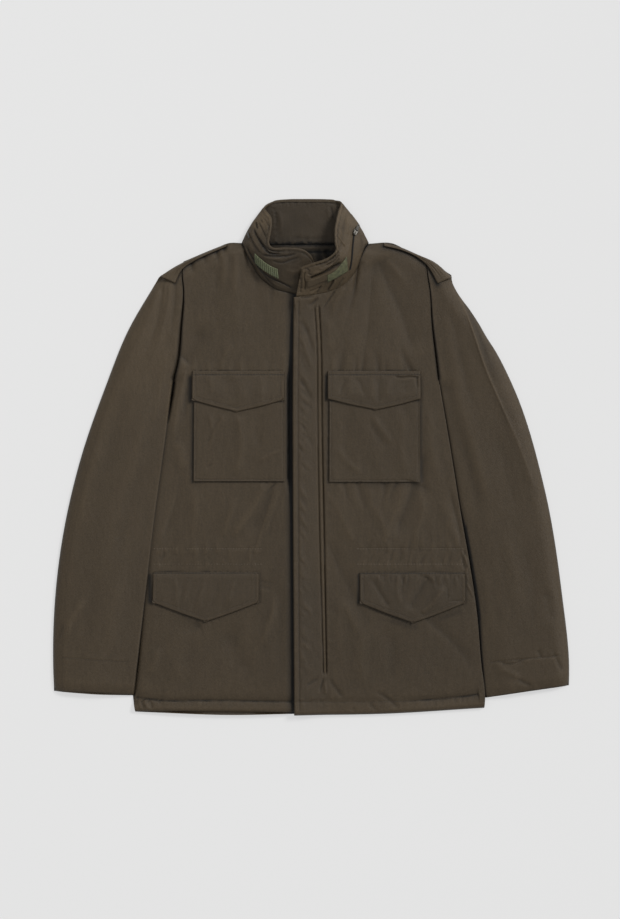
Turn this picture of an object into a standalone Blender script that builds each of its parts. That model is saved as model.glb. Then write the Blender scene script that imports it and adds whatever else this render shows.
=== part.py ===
"""Field jacket in thin padded cloth, closed and laid flat on its back, collar up the +Y way.

+X is the wearer's left, +Y runs from hem to collar and +Z is up off the surface it lies on.
The origin is the middle of the underside. Tables are in millimetres, objects in metres.
Pieces are laid from the surface up: each one finds what lies under it and rests a seam gap above.
"""

from collections import namedtuple

import bmesh
import bpy
import numpy as np
from mathutils import Matrix, Vector
from mathutils.bvhtree import BVHTree

MM = 0.001

# ---- cloth and gaps, millimetres -------------------------------------------------------------
BODY_WALL = 3.0  # shell, thin filling and lining of the body
SLEEVE_WALL = 2.4
COLLAR_WALL = 2.4
PATCH_WALL = 1.6  # pocket, flap or epaulette: two layers of shell cloth
TAPE_WALL = 1.0
SEAM = 0.3  # pieces stay this far apart where they are sewn or lie on each other
SLEEVE_OFF = 1.0  # in plan, since the tops of both edges lean over the seam
BODY_GAP = 3.0  # most air between the front and the back
SLEEVE_GAP = 3.0  # most air inside a sleeve
EDGE_SOFT = 34.0  # the front rises from its edges over this width
NECK_RISE = 0.6  # and a little more at the neck
NECK_SOFT = 60.0
LAP_FROM, LAP_TO = 30.0, 10.0  # the left front climbs over the right one between these x
HEM_DEEP = 24.0  # turned hem, to its stitch line
DITCH = 1.2  # the hem's stitch line sinks this much
ABOVE_ALL = 90.0
FOLD_GAP = 0.5  # between a sleeve's two halves at its folds

# A piece clears the highest thing this far to either side of each of its points.
FLY_REACH = 14.0
SLEEVE_REACH = 19.0
PATCH_REACH = 12.0
STRIP_REACH = 9.0

# ---- outlines ------------------------------------------------------------------------------
# Each side has its own tables, since a laid garment isn't quite even. Rows run as named.
Spot = namedtuple("Spot", "x y")


def spots(*pairs):
    return [Spot(*pair) for pair in pairs]


Side = namedtuple(
    "Side",
    "sign shoulder armhole underarm flank hem_corner sleeve_inner sleeve_outer cuff_inner cuff_outer",
)

RIGHT = Side(
    sign=-1,
    shoulder=spots((-111, 342), (-131, 342), (-150, 335), (-204, 312.5)),  # neck to armhole
    armhole=spots((-204, 312.5), (-206, 297), (-203.5, 265), (-207.5, 208), (-213, 151), (-220, 124.5)),
    underarm=spots((-220, 124.5), (-238, 98), (-279, 88)),
    flank=spots((-279, 88), (-276, -140), (-280, -386)),
    hem_corner=Spot(-278, -407),
    sleeve_inner=spots((-220, 124.5), (-235, 9), (-250, -99), (-264, -219), (-283, -381)),
    sleeve_outer=spots((-243, 287.5), (-295, 197), (-327, 117), (-370, -8), (-401, -151), (-412.5, -334), (-411, -374)),
    cuff_inner=Spot(-283, -381),
    cuff_outer=Spot(-411, -374),
)
LEFT = Side(
    sign=1,
    shoulder=spots((93, 341), (130, 341.5), (156, 329), (184, 318)),
    armhole=spots((184, 318), (185.5, 297), (190.5, 265), (193.5, 216), (200, 159), (204, 124.5)),
    underarm=spots((204, 124.5), (226, 98), (277, 90)),
    flank=spots((277, 90), (274, -140), (277, -380)),
    hem_corner=Spot(277, -401),
    sleeve_inner=spots((204, 124.5), (224.5, 3), (239, -88), (253, -168), (278, -386)),
    sleeve_outer=spots((224.5, 291), (287.5, 186), (321.5, 117), (373, -48), (401.5, -219), (413, -347), (412.5, -365)),
    cuff_inner=Spot(278, -386),
    cuff_outer=Spot(412.5, -365),
)

NECK_RIGHT = spots((5, 254), (-17, 255), (-30, 259), (-56, 269), (-81, 285), (-97, 308), (-108, 331), (-111, 342))
NECK_LEFT = spots((-28, 252), (7.5, 257), (25, 261), (45, 268), (60, 278), (72, 291), (82.7, 319), (93, 341))
CENTRE_RIGHT = spots((5, -410), (5, 254))  # hidden edge of the under front
CENTRE_LEFT = spots((-27, -413), (-29, -100), (-29.5, 100), (-28, 252))  # edge of the fly
HEM_BACK_MID = Spot(-10, -411)
NECK_BACK = spots((-108, 340.3), (-40, 340), (40, 340), (92, 340.3))

# ---- pieces on the fronts --------------------------------------------------------------------
Pocket = namedtuple("Pocket", "name left right top bottom spread")
Flap = namedtuple("Flap", "name left right top side_y tip_x tip_y")
POCKETS = (
    Pocket("pocket_chest_right", -186, -42.5, 128, -38.5, 1.0),
    Pocket("pocket_chest_left", 30, 173, 128, -39.5, 0.5),
)
FLAPS = (
    Flap("flap_chest_right", -190, -43, 137, 91, -118, 72),
    Flap("flap_chest_left", 26.8, 175, 137, 92.5, 104, 75),
    Flap("flap_hip_right", -253, -83.5, -184, -232, -168, -263),
    Flap("flap_hip_left", 78, 246, -184.5, -233, 163, -265),
)
WeltRow = namedtuple("WeltRow", "y left right")  # from the hem end up to the neck end
WELT = (
    WeltRow(-349, 20.0, 24.6),
    WeltRow(-117, 13.6, 20.6),
    WeltRow(60, 10.6, 17.4),
    WeltRow(180, 9.5, 16.0),
    WeltRow(243, 5.6, 12.5),
)
WELT_STEPS = 24

# Epaulette: matching spots along the shoulder fold and along its lower edge, neck end first.
EPAULETTES = {
    "epaulette_right": (
        spots((-136, 339), (-163, 328), (-190, 317), (-215, 304.5), (-240, 288.5)),
        spots((-138, 335.5), (-161, 325), (-185, 313.5), (-206, 299), (-217, 278)),
    ),
    "epaulette_left": (
        spots((119, 340.5), (145, 333.5), (170, 322.5), (197, 310.5), (221.5, 292)),
        spots((120, 337), (145, 330), (167.5, 320), (184, 307), (202, 277.5)),
    ),
}

# ---- collar ----------------------------------------------------------------------------------
# One row for each section, from the under end (right front) round the back to the over end.
# neck and rim are on the outer face; belly is how far the face swells between them.
Rib = namedtuple("Rib", "neck_x neck_y neck_z rim_x rim_y rim_z belly")
COLLAR = (
    Rib(4, 256, 8.0, 6, 309, 24, 0.5),
    Rib(-14, 256.5, 8.6, 0, 322, 29, 1.5),
    Rib(-31, 261, 9.6, -12, 331, 33, 3.0),
    Rib(-55, 270.5, 10.4, -36, 334, 36, 5.0),
    Rib(-79, 286.8, 11.2, -56, 335, 37, 5.0),
    Rib(-94.5, 308.5, 12.0, -65, 345, 36, 5.0),
    Rib(-103.5, 325, 12.2, -64.5, 362, 33, 4.0),
    Rib(-108.5, 337.5, 11, -65, 383, 25, 4.0),
    Rib(-111.0, 342.5, 5, -75, 400, 11, 3.0),
    Rib(-104, 341.0, 0, -60, 409.5, 0, 0.0),
    Rib(-74, 340.2, 0, -36, 412.3, 0, 0.0),
    Rib(-30, 340.2, 0, -15, 412.6, 0, 0.0),
    Rib(14, 340.2, 0, 8, 412.6, 0, 0.0),
    Rib(54, 340.2, 0, 26, 412.2, 0, 0.0),
    Rib(85, 341.1, 0, 38, 411.2, 0, 0.0),
    Rib(92.5, 342.5, 6, 48.5, 408, 10, 3.0),
    Rib(87, 336.5, 12, 43.5, 391, 22, 3.5),
    Rib(80.5, 318.5, 12.4, 39, 366, 33, 4.0),
    Rib(71, 296, 12.4, 39.5, 347, 38, 5.0),
    Rib(58.5, 279.5, 12.4, 41.5, 333, 41, 5.0),
    Rib(43.5, 269.5, 12.6, 34, 322.5, 42, 4.0),
    Rib(22, 262.5, 13.6, 20, 315, 42, 3.0),
    Rib(-3, 258, 16.2, 0, 309, 41, 1.5),
    Rib(-24, 256, 16.6, -14.5, 304, 38, 0.5),
)
BACK_FIRST, BACK_LAST = 9, 14  # the sections that lie flat on the surface
COLLAR_ROWS = 4
COLLAR_STEPS = 2  # steps from one row of the table to the next

# Trim on the collar: places as sections of the table (0 is the under end) and parts of its height.
Trim = namedtuple("Trim", "first last low high")
LOOP_PATCH = Trim(3.2, 5.3, 0.20, 0.46)
TAB = Trim(18.6, 22.4, 0.26, 0.58)
HOOK_PATCH = Trim(18.7, 20.85, 0.28, 0.56)
ZIP_END = Trim(7.5, 7.7, 0.19, 0.27)
HOOK_THICK = 1.5
ZipSpot = namedtuple("ZipSpot", "section rise")
ZIP_RUN = (
    ZipSpot(15.85, 0.42),
    ZipSpot(16.4, 0.43),
    ZipSpot(17.0, 0.39),
    ZipSpot(17.7, 0.33),
    ZipSpot(18.4, 0.24),
)
ZIP_HALF = 0.035  # half the tape's width, as a part of the collar's height

# ---- slider and pull -------------------------------------------------------------------------
SLIDER_AT = ZipSpot(16.15, 0.425)
SLIDER_LONG, SLIDER_TAIL, SLIDER_NOSE, SLIDER_HIGH = 9.0, 5.0, 7.0, 2.6
NOSE_ROUND = 1.5
LUG_LONG, LUG_WIDE, LUG_HIGH = 5.0, 2.0, 2.0
LUG_BACK = 0.9  # the lug's middle is this far behind the body's
SINK = 0.6  # the lug is cast into the body this deep
PULL_LONG, PULL_WIDE, PULL_THICK = 11.5, 4.8, 1.1
PULL_EYE = 1.2
PULL_ROUND = 0.9
PULL_UP = 1.1  # the hinge's height over the slider's top
PULL_DROOP = 11.0  # degrees: the tab's free end lies nearer the cloth
HINGE_FROM_MIDDLE = 3.6
ROUND_STEPS = 8

# ---- colours: red, green, blue, roughness, metallic ------------------------------------------
Finish = namedtuple("Finish", "red green blue roughness metallic")
FINISHES = {
    "shell_cloth": Finish(0.064, 0.050, 0.036, 0.62, 0.0),
    "loop_tape": Finish(0.098, 0.112, 0.055, 0.90, 0.0),
    "hook_tape": Finish(0.105, 0.112, 0.062, 0.75, 0.0),
    "zip_tape": Finish(0.030, 0.026, 0.020, 0.80, 0.0),
    "zip_metal": Finish(0.42, 0.41, 0.39, 0.32, 1.0),
}


# ---- curves and grids ------------------------------------------------------------------------


def smooth(part):
    part = np.clip(part, 0.0, 1.0)
    return part * part * (3.0 - 2.0 * part)


def even(path, steps):
    """The path as steps equal lengths."""
    lengths = np.concatenate([[0.0], np.cumsum(np.linalg.norm(np.diff(path, axis=0), axis=1))])
    wanted = np.linspace(0.0, lengths[-1], steps + 1)
    return np.stack([np.interp(wanted, lengths, path[:, axis]) for axis in range(path.shape[1])], axis=1)


def curve(points, steps):
    """A smooth curve through the points, cut into equal lengths."""
    points = np.array(points, float)
    if len(points) > 2:
        at = np.concatenate([[0.0], np.cumsum(np.linalg.norm(np.diff(points, axis=0), axis=1))])
        slopes = np.gradient(points, at, axis=0)
        fine = []
        for i in range(len(points) - 1):
            span = at[i + 1] - at[i]
            t = np.linspace(0.0, 1.0, 24, endpoint=False)[:, None]
            fine.append(
                (2 * t**3 - 3 * t**2 + 1) * points[i]
                + (t**3 - 2 * t**2 + t) * span * slopes[i]
                + (3 * t**2 - 2 * t**3) * points[i + 1]
                + (t**3 - t**2) * span * slopes[i + 1]
            )
        points = np.concatenate([*fine, points[-1:]])
    return even(points, steps)


def chain(*legs):
    """Legs of (points, steps) one after the other, so each leg's ends stay corners."""
    parts = [curve(points, steps) for points, steps in legs]
    return np.concatenate([parts[0], *[part[1:] for part in parts[1:]]])


def fill(bottom, top, start, end):
    """The grid between four edges: bottom and top run start to end, start and end run bottom to top."""
    u = np.linspace(0.0, 1.0, len(bottom))[:, None, None]
    v = np.linspace(0.0, 1.0, len(start))[None, :, None]
    across = (1 - v) * bottom[:, None] + v * top[:, None]
    along = (1 - u) * start[None] + u * end[None]
    corners = (1 - u) * ((1 - v) * bottom[0] + v * top[0]) + u * ((1 - v) * bottom[-1] + v * top[-1])
    return across + along - corners


def distance_to(grid, path):
    """How far each point of the grid is from the path."""
    best = np.full(grid.shape[:2], np.inf)
    for a, b in zip(path[:-1], path[1:]):
        run = b - a
        t = np.clip(((grid - a) @ run) / (run @ run), 0.0, 1.0)
        best = np.minimum(best, np.linalg.norm(grid - (a + t[..., None] * run), axis=-1))
    return best


# ---- solids ----------------------------------------------------------------------------------


def material(slot):
    """The slot's plain material."""
    if slot in bpy.data.materials:
        return bpy.data.materials[slot]
    finish = FINISHES[slot]
    made = bpy.data.materials.new(slot)
    made.use_nodes = True
    shader = made.node_tree.nodes["Principled BSDF"]
    shader.inputs["Base Color"].default_value = (finish.red, finish.green, finish.blue, 1.0)
    shader.inputs["Roughness"].default_value = finish.roughness
    shader.inputs["Metallic"].default_value = finish.metallic
    return made


def add_object(name, mesh, slot):
    """Links a mesh as one named piece of the jacket."""
    mesh.materials.append(material(slot))
    piece = bpy.data.objects.new(name, mesh)
    bpy.data.collections["field_jacket"].objects.link(piece)
    return piece


def sheet_faces(columns, rows):
    return [
        (i * rows + j, (i + 1) * rows + j, (i + 1) * rows + j + 1, i * rows + j + 1)
        for i in range(columns - 1)
        for j in range(rows - 1)
    ]


def laid_sheet(name, grid, wall, slot="shell_cloth"):
    """A cloth piece from the grid of its underside, thickened upwards with Solidify."""
    mesh = bpy.data.meshes.new(name)
    mesh.from_pydata((grid.reshape(-1, 3) * MM).tolist(), [], sheet_faces(*grid.shape[:2]))
    if mesh.polygons[0].normal.z < 0:
        mesh.flip_normals()
    piece = add_object(name, mesh, slot)
    thicken = piece.modifiers.new("cloth", "SOLIDIFY")
    thicken.thickness = wall * MM
    thicken.offset = 1.0
    return piece


def lofted_wall(name, face, lining, slot="shell_cloth"):
    """A closed wall between two matching grids: its outer face and its inner one."""
    columns, rows = face.shape[:2]
    count = columns * rows
    halves = [half for a, b, c, d in sheet_faces(columns, rows) for half in ((a, b, c), (a, c, d))]
    faces = halves + [tuple(count + k for k in reversed(half)) for half in halves]
    border = [i * rows for i in range(columns)]
    border += [(columns - 1) * rows + j for j in range(1, rows)]
    border += [i * rows + rows - 1 for i in reversed(range(columns - 1))]
    border += list(reversed(range(1, rows - 1)))
    for a, b in zip(border, border[1:] + border[:1]):
        faces.append((b, a, count + a, count + b))
    mesh = bpy.data.meshes.new(name)
    mesh.from_pydata((np.concatenate([face.reshape(-1, 3), lining.reshape(-1, 3)]) * MM).tolist(), [], faces)
    tidy = bmesh.new()
    tidy.from_mesh(mesh)
    bmesh.ops.recalc_face_normals(tidy, faces=tidy.faces)
    tidy.to_mesh(mesh)
    tidy.free()
    return add_object(name, mesh, slot)


def solid_tree(piece):
    """The piece's finished faces, ready for finding heights on it."""
    graph = bpy.context.evaluated_depsgraph_get()
    graph.update()
    return BVHTree.FromObject(piece, graph)


def height_of(trees, x, y):
    """The top of what lies at this place, in millimetres; 0 where nothing does."""
    best = 0.0
    for tree in trees:
        hit = tree.ray_cast(Vector((x * MM, y * MM, ABOVE_ALL * MM)), Vector((0, 0, -1)))[0]
        if hit is not None:
            best = max(best, hit.z / MM)
    return best


def resting(grid, trees, reach):
    """The underside height at each grid place that clears what lies within reach of it."""
    heights = np.zeros(grid.shape[:2])
    shifts = [(dx * reach, dy * reach) for dx in (-1, -0.5, 0, 0.5, 1) for dy in (-1, -0.5, 0, 0.5, 1)]
    for index in np.ndindex(*heights.shape):
        x, y = grid[index][:2]
        top = max(height_of(trees, x + dx, y + dy) for dx, dy in shifts)
        heights[index] = top + SEAM if top > 0 else 0.0
    return heights


def raised(grid, heights):
    return np.concatenate([grid, heights[..., None]], axis=-1)


# ---- body ------------------------------------------------------------------------------------


def hem_seam(corner, centre):
    """The stitch line of the turned hem, side end first."""
    return Spot(corner.x, corner.y + HEM_DEEP), Spot(centre.x, centre.y + HEM_DEEP)


def build_back():
    """The back: one flat panel that everything else lies on."""
    outline = np.concatenate(
        [
            curve(NECK_BACK, 6)[:-1],
            curve(LEFT.shoulder, 5)[:-1],
            curve(LEFT.armhole, 6)[:-1],
            curve(LEFT.underarm, 3)[:-1],
            curve(LEFT.flank, 6),
            curve([LEFT.hem_corner, HEM_BACK_MID, RIGHT.hem_corner], 10),
            curve(RIGHT.flank[::-1], 6)[:-1],
            curve(RIGHT.underarm[::-1], 3)[:-1],
            curve(RIGHT.armhole[::-1], 6)[:-1],
            curve(RIGHT.shoulder[::-1], 5),
        ]
    )
    shape = bmesh.new()
    ring = [shape.verts.new((x * MM, y * MM, 0.0)) for x, y in outline]
    floor = shape.faces.new(ring)
    bmesh.ops.triangulate(shape, faces=[floor])
    mesh = bpy.data.meshes.new("back")
    shape.normal_update()
    shape.to_mesh(mesh)
    shape.free()
    if mesh.polygons[0].normal.z < 0:
        mesh.flip_normals()
    piece = add_object("back", mesh, "shell_cloth")
    thicken = piece.modifiers.new("cloth", "SOLIDIFY")
    thicken.thickness = BODY_WALL * MM
    thicken.offset = 1.0
    return piece


def front_grid(side, centre, neck, neck_steps):
    """A front panel's plan: columns from the centre to the side, rows from the hem to the shoulder."""
    across = sum(neck_steps) + 5
    hem_middle = Spot(*centre[0])
    low_side, low_centre = hem_seam(side.hem_corner, hem_middle)
    inner = chain(([hem_middle, low_centre], 2), ([low_centre, *centre[1:]], 20))
    outer = chain(
        ([side.hem_corner, low_side], 2),
        ([low_side, *side.flank[-2::-1]], 11),
        (side.underarm[::-1], 3),
        (side.armhole[::-1], 6),
    )
    hem_turn = hem_middle._replace(x=LAP_FROM + 2)
    if side is LEFT:
        bottom = chain(([hem_middle, hem_turn], neck_steps[0]), ([hem_turn, side.hem_corner], across - neck_steps[0]))
        top = chain((neck[:3], neck_steps[0]), (neck[2:], neck_steps[1]), (side.shoulder, 5))
    else:
        bottom = chain(([hem_middle, side.hem_corner], across))
        top = chain((neck, neck_steps[0]), (side.shoulder, 5))
    return fill(bottom, top, inner, outer)


def front_lift(grid, side, neck):
    """How far a front stands off the back: nothing at its edges, a little over its middle and at the neck."""
    edges = chain((side.shoulder, 6), (side.armhole, 8), (side.underarm, 4), (side.flank, 10))
    hem = curve([side.flank[-1], side.hem_corner, Spot(0, side.hem_corner.y - 6)], 8)
    off_edge = distance_to(grid, edges)
    off_hem = distance_to(grid, hem)
    off_neck = distance_to(grid, curve(neck, 12))
    off_shoulder = distance_to(grid, curve(side.shoulder, 6))
    lift = BODY_GAP * smooth(np.minimum(off_edge, off_hem) / EDGE_SOFT)
    lift += NECK_RISE * smooth(1.0 - off_neck / NECK_SOFT) * smooth(off_shoulder / EDGE_SOFT)
    seam = np.abs(off_hem - HEM_DEEP) < 3.0
    return lift - np.where(seam, DITCH * smooth(lift / DITCH), 0.0)


def build_front_right():
    """The under front, wearer's right."""
    grid = front_grid(RIGHT, CENTRE_RIGHT, NECK_RIGHT, (8,))
    heights = BODY_WALL + SEAM + front_lift(grid, RIGHT, NECK_RIGHT)
    return laid_sheet("front_right", raised(grid, heights), BODY_WALL)


def build_front_left(under):
    """The over front, wearer's left, with its grown-on fly lying on the under front."""
    grid = front_grid(LEFT, CENTRE_LEFT, NECK_LEFT, (4, 6))
    heights = BODY_WALL + SEAM + front_lift(grid, LEFT, NECK_LEFT)
    climb = smooth((LAP_FROM - grid[..., 0]) / (LAP_FROM - LAP_TO))
    heights = heights + (BODY_WALL + SEAM) * climb
    near = grid[..., 0] < LAP_FROM
    rest = resting(grid[:6], [under], FLY_REACH)
    heights[:6] = np.where(near[:6], np.maximum(heights[:6], rest), heights[:6])
    return laid_sheet("front_left", raised(grid, heights), BODY_WALL)


# ---- sleeves ---------------------------------------------------------------------------------


def sleeve_grid(side):
    """A sleeve's plan: columns from the body to the outer fold, rows from the cuff to the shoulder."""
    beside = [Spot(x + side.sign * SLEEVE_OFF, y) for x, y in side.armhole]
    inner_fold = [beside[-1], *side.sleeve_inner[1:]]
    inner = chain((inner_fold[::-1], 13), (beside[::-1], 6))
    cap = Spot(beside[0].x + side.sign * 9.0, beside[0].y - 4.0)
    outer = chain((side.sleeve_outer[::-1], 17), ([side.sleeve_outer[0], cap], 2))
    bottom = curve([side.cuff_inner, side.cuff_outer], 8)
    top = curve([beside[0], cap], 8)
    return fill(bottom, top, inner, outer)


def build_sleeve(side, name, trees):
    """Both halves of a sleeve: the under one on the surface and over the body's side, the upper on it."""
    grid = sleeve_grid(side)
    rest = resting(grid, trees, SLEEVE_REACH)
    height_share = smooth((176.0 - grid[..., 1]) / 46.0)
    under = raised(grid, rest * height_share)
    under_piece = laid_sheet(f"{name}_under", under, SLEEVE_WALL)
    under_tree = solid_tree(under_piece)
    u = np.linspace(0.0, 1.0, grid.shape[0])[:, None] * np.ones(grid.shape[:2])
    v = np.linspace(0.0, 1.0, grid.shape[1])[None, :] * np.ones(grid.shape[:2])
    air = SLEEVE_GAP * smooth(u / 0.22) * smooth((1 - u) / 0.22) * smooth(v / 0.06) * smooth((1 - v) / 0.1)
    upper = raised(grid, np.zeros(grid.shape[:2]))
    for index in np.ndindex(*grid.shape[:2]):
        x, y = grid[index]
        inward = grid[min(max(index[0], 1), grid.shape[0] - 2), min(max(index[1], 1), grid.shape[1] - 2)] - grid[index]
        nudge = inward * (0.6 / max(np.linalg.norm(inward), 0.6))
        top = height_of([under_tree], x + nudge[0], y + nudge[1])
        upper[index][2] = max(top, under[index][2] + SLEEVE_WALL) + FOLD_GAP + air[index]
    return under_piece, laid_sheet(f"{name}_upper", upper, SLEEVE_WALL)


# ---- what lies on the fronts -----------------------------------------------------------------


def build_pocket(row, trees):
    """A patch pocket's bag."""
    bottom = curve([Spot(row.left - row.spread, row.bottom), Spot(row.right + row.spread, row.bottom)], 7)
    top = curve([Spot(row.left, row.top), Spot(row.right, row.top)], 7)
    start = curve([bottom[0], top[0]], 8)
    end = curve([bottom[-1], top[-1]], 8)
    grid = fill(bottom, top, start, end)
    return laid_sheet(row.name, raised(grid, resting(grid, trees, PATCH_REACH)), PATCH_WALL)


def build_flap(row, trees):
    """A pocket flap with a pointed lower edge."""
    steps_left = max(2, round(8 * (row.tip_x - row.left) / (row.right - row.left)))
    bottom = chain(
        ([Spot(row.left, row.side_y), Spot(row.tip_x, row.tip_y)], steps_left),
        ([Spot(row.tip_x, row.tip_y), Spot(row.right, row.side_y)], 8 - steps_left),
    )
    top = np.stack([bottom[:, 0], np.full(len(bottom), float(row.top))], axis=1)
    start = curve([bottom[0], top[0]], 4)
    end = curve([bottom[-1], top[-1]], 4)
    grid = fill(bottom, top, start, end)
    return laid_sheet(row.name, raised(grid, resting(grid, trees, PATCH_REACH)), PATCH_WALL)


def build_welt(trees):
    """The narrow strip sewn down along the fly, ending short of the hem."""
    left = curve([Spot(row.left, row.y) for row in WELT], WELT_STEPS)
    right = curve([Spot(row.right, row.y) for row in WELT], WELT_STEPS)
    grid = np.stack([left, right])
    return laid_sheet("fly_welt", raised(grid, resting(grid, trees, STRIP_REACH)), PATCH_WALL)


def build_epaulette(name, trees):
    """A shoulder strap that wraps over the fold of the shoulder."""
    fold, lower = EPAULETTES[name]
    grid = fill(curve(lower, 8), curve(fold, 8), curve([lower[0], fold[0]], 2), curve([lower[-1], fold[-1]], 2))
    return laid_sheet(name, raised(grid, resting(grid, trees, STRIP_REACH)), PATCH_WALL)


# ---- collar ----------------------------------------------------------------------------------


def collar_face():
    """The outer face: sections by rows of points, and the way out of the face at each."""
    table = np.array(COLLAR, float)
    at = np.arange(len(table), dtype=float)
    slopes = np.gradient(table, at, axis=0)
    wanted = np.linspace(0, len(table) - 1, (len(table) - 1) * COLLAR_STEPS + 1)
    low = np.minimum(wanted.astype(int), len(table) - 2)
    t = (wanted - low)[:, None]
    ribs = (
        (2 * t**3 - 3 * t**2 + 1) * table[low]
        + (t**3 - 2 * t**2 + t) * slopes[low]
        + (3 * t**2 - 2 * t**3) * table[low + 1]
        + (t**3 - t**2) * slopes[low + 1]
    )
    flat = (wanted >= BACK_FIRST) & (wanted <= BACK_LAST)
    for column in ("neck_z", "rim_z", "belly"):
        ribs[flat, Rib._fields.index(column)] = 0.0
    rise = np.linspace(0.0, 1.0, COLLAR_ROWS + 1)[None, :, None]
    face = (1 - rise) * ribs[:, None, 0:3] + rise * ribs[:, None, 3:6]
    out = ways_out(face)
    swell = 4 * rise * (1 - rise) * ribs[:, None, 6:7]
    face = face + swell * out
    face[..., 2] = np.maximum(face[..., 2], 0.0)
    return face, ways_out(face)


def ways_out(face):
    """Unit vectors out of a grid's face."""
    along = np.gradient(face, axis=0)
    up = np.gradient(face, axis=1)
    out = np.cross(up, along)
    return out / np.linalg.norm(out, axis=-1, keepdims=True)


def build_collar(face, out):
    """The outer and the inner wall of the stand collar, one inside the other."""
    inner_face = COLLAR_WALL + SEAM
    lofted_wall("collar_outer", face, face - COLLAR_WALL * out)
    lofted_wall("collar_inner", face - inner_face * out, face - (inner_face + COLLAR_WALL) * out)


def on_collar(face, out, section, rise):
    """A place on the faceted collar and the way out of it there."""
    s = section * COLLAR_STEPS
    r = rise * COLLAR_ROWS
    i = min(int(s), face.shape[0] - 2)
    j = min(int(r), face.shape[1] - 2)
    a, b = s - i, r - j
    blend = [(i, j, (1 - a) * (1 - b)), (i + 1, j, a * (1 - b)), (i, j + 1, (1 - a) * b), (i + 1, j + 1, a * b)]
    place = sum(share * face[p, q] for p, q, share in blend)
    way = sum(share * out[p, q] for p, q, share in blend)
    return place, way / np.linalg.norm(way)


def stops(first, last, per_unit):
    """The ends and the grid lines between them, so that trim bends where the collar does."""
    inside = [k / per_unit for k in range(int(np.ceil(first * per_unit)), int(np.floor(last * per_unit)) + 1)]
    return [first, *[k for k in inside if first + 0.02 < k < last - 0.02], last]


def build_trim(name, face, out, trim, lift, wall, slot):
    """A strip that follows the collar's outer face, lifted off it."""
    columns = stops(trim.first, trim.last, COLLAR_STEPS)
    rows = stops(trim.low, trim.high, COLLAR_ROWS)
    spots_out = [[on_collar(face, out, s, r) for r in rows] for s in columns]
    under = np.array([[place + lift * way for place, way in line] for line in spots_out])
    over = np.array([[place + (lift + wall) * way for place, way in line] for line in spots_out])
    return lofted_wall(name, over, under, slot)


# ---- zip slider and pull ---------------------------------------------------------------------


def zip_rise(section):
    """How high up the collar the zip runs at this section."""
    return float(np.interp(section, [spot.section for spot in ZIP_RUN], [spot.rise for spot in ZIP_RUN]))


def build_zip_tape(face, out):
    """The closed zip's tape, along the collar from the slider to its front end."""
    over, under = [], []
    for section in stops(ZIP_RUN[0].section, ZIP_RUN[-1].section, COLLAR_STEPS):
        edges = [on_collar(face, out, section, zip_rise(section) + k * ZIP_HALF) for k in (-1, 0, 1)]
        under.append([place + 2 * SEAM * way for place, way in edges])
        over.append([place + (2 * SEAM + TAPE_WALL) * way for place, way in edges])
    return lofted_wall("zip_tape", np.array(over), np.array(under), "zip_tape")


def zip_frame(face, out):
    """The slider's place on the tape, with its ways along the zip, across it and out of the collar."""
    place, way = on_collar(face, out, *SLIDER_AT)
    ahead = SLIDER_AT.section - 0.25
    further, _ = on_collar(face, out, ahead, zip_rise(ahead))
    along = further - place
    along -= way * (along @ way)
    along /= np.linalg.norm(along)
    return place + way * (TAPE_WALL + 3 * SEAM), along, np.cross(way, along), way


def turn_to(frame, shift, droop=0.0):
    """The matrix that puts a shape drawn with X along the zip, Y across and Z out onto the zip."""
    place, along, across, way = frame
    turn = Matrix((along, across, way)).transposed().to_4x4()
    turn.translation = Vector(place + along * shift[0] + across * shift[1] + way * shift[2]) * MM
    return turn @ Matrix.Rotation(np.radians(droop), 4, "Y")


def flat_outline(name, loops, thick):
    """A plate from closed outlines (later ones are holes), as a filled and extruded 2D curve."""
    plate = bpy.data.curves.new(name, "CURVE")
    plate.dimensions = "2D"
    plate.fill_mode = "BOTH"
    plate.extrude = thick / 2 * MM
    for loop in loops:
        spline = plate.splines.new("POLY")
        spline.points.add(len(loop) - 1)
        for point, (x, y) in zip(spline.points, loop):
            point.co = (x * MM, y * MM, 0.0, 1.0)
        spline.use_cyclic_u = True
    return plate


def arc(middle, radius, start, stop):
    """Points round an arc, angles in degrees."""
    turns = np.radians(np.linspace(start, stop, ROUND_STEPS))
    return [(middle[0] + radius * np.cos(t), middle[1] + radius * np.sin(t)) for t in turns]


def helper(name, data, matrix):
    """A shape that only serves another one's modifier."""
    made = bpy.data.objects.new(name, data)
    bpy.data.collections["cutters"].objects.link(made)
    made.matrix_world = matrix
    made.hide_render = True
    made.display_type = "WIRE"
    return made


def closed_mesh(name, plate):
    """A curve plate as a closed mesh."""
    drawn = helper(name, plate, Matrix.Identity(4))
    graph = bpy.context.evaluated_depsgraph_get()
    graph.update()
    mesh = bpy.data.meshes.new_from_object(drawn.evaluated_get(graph))
    bpy.data.objects.remove(drawn)
    welded = bmesh.new()
    welded.from_mesh(mesh)
    bmesh.ops.remove_doubles(welded, verts=welded.verts, dist=1e-6)
    welded.to_mesh(mesh)
    welded.free()
    mesh.name = name
    return mesh


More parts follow.
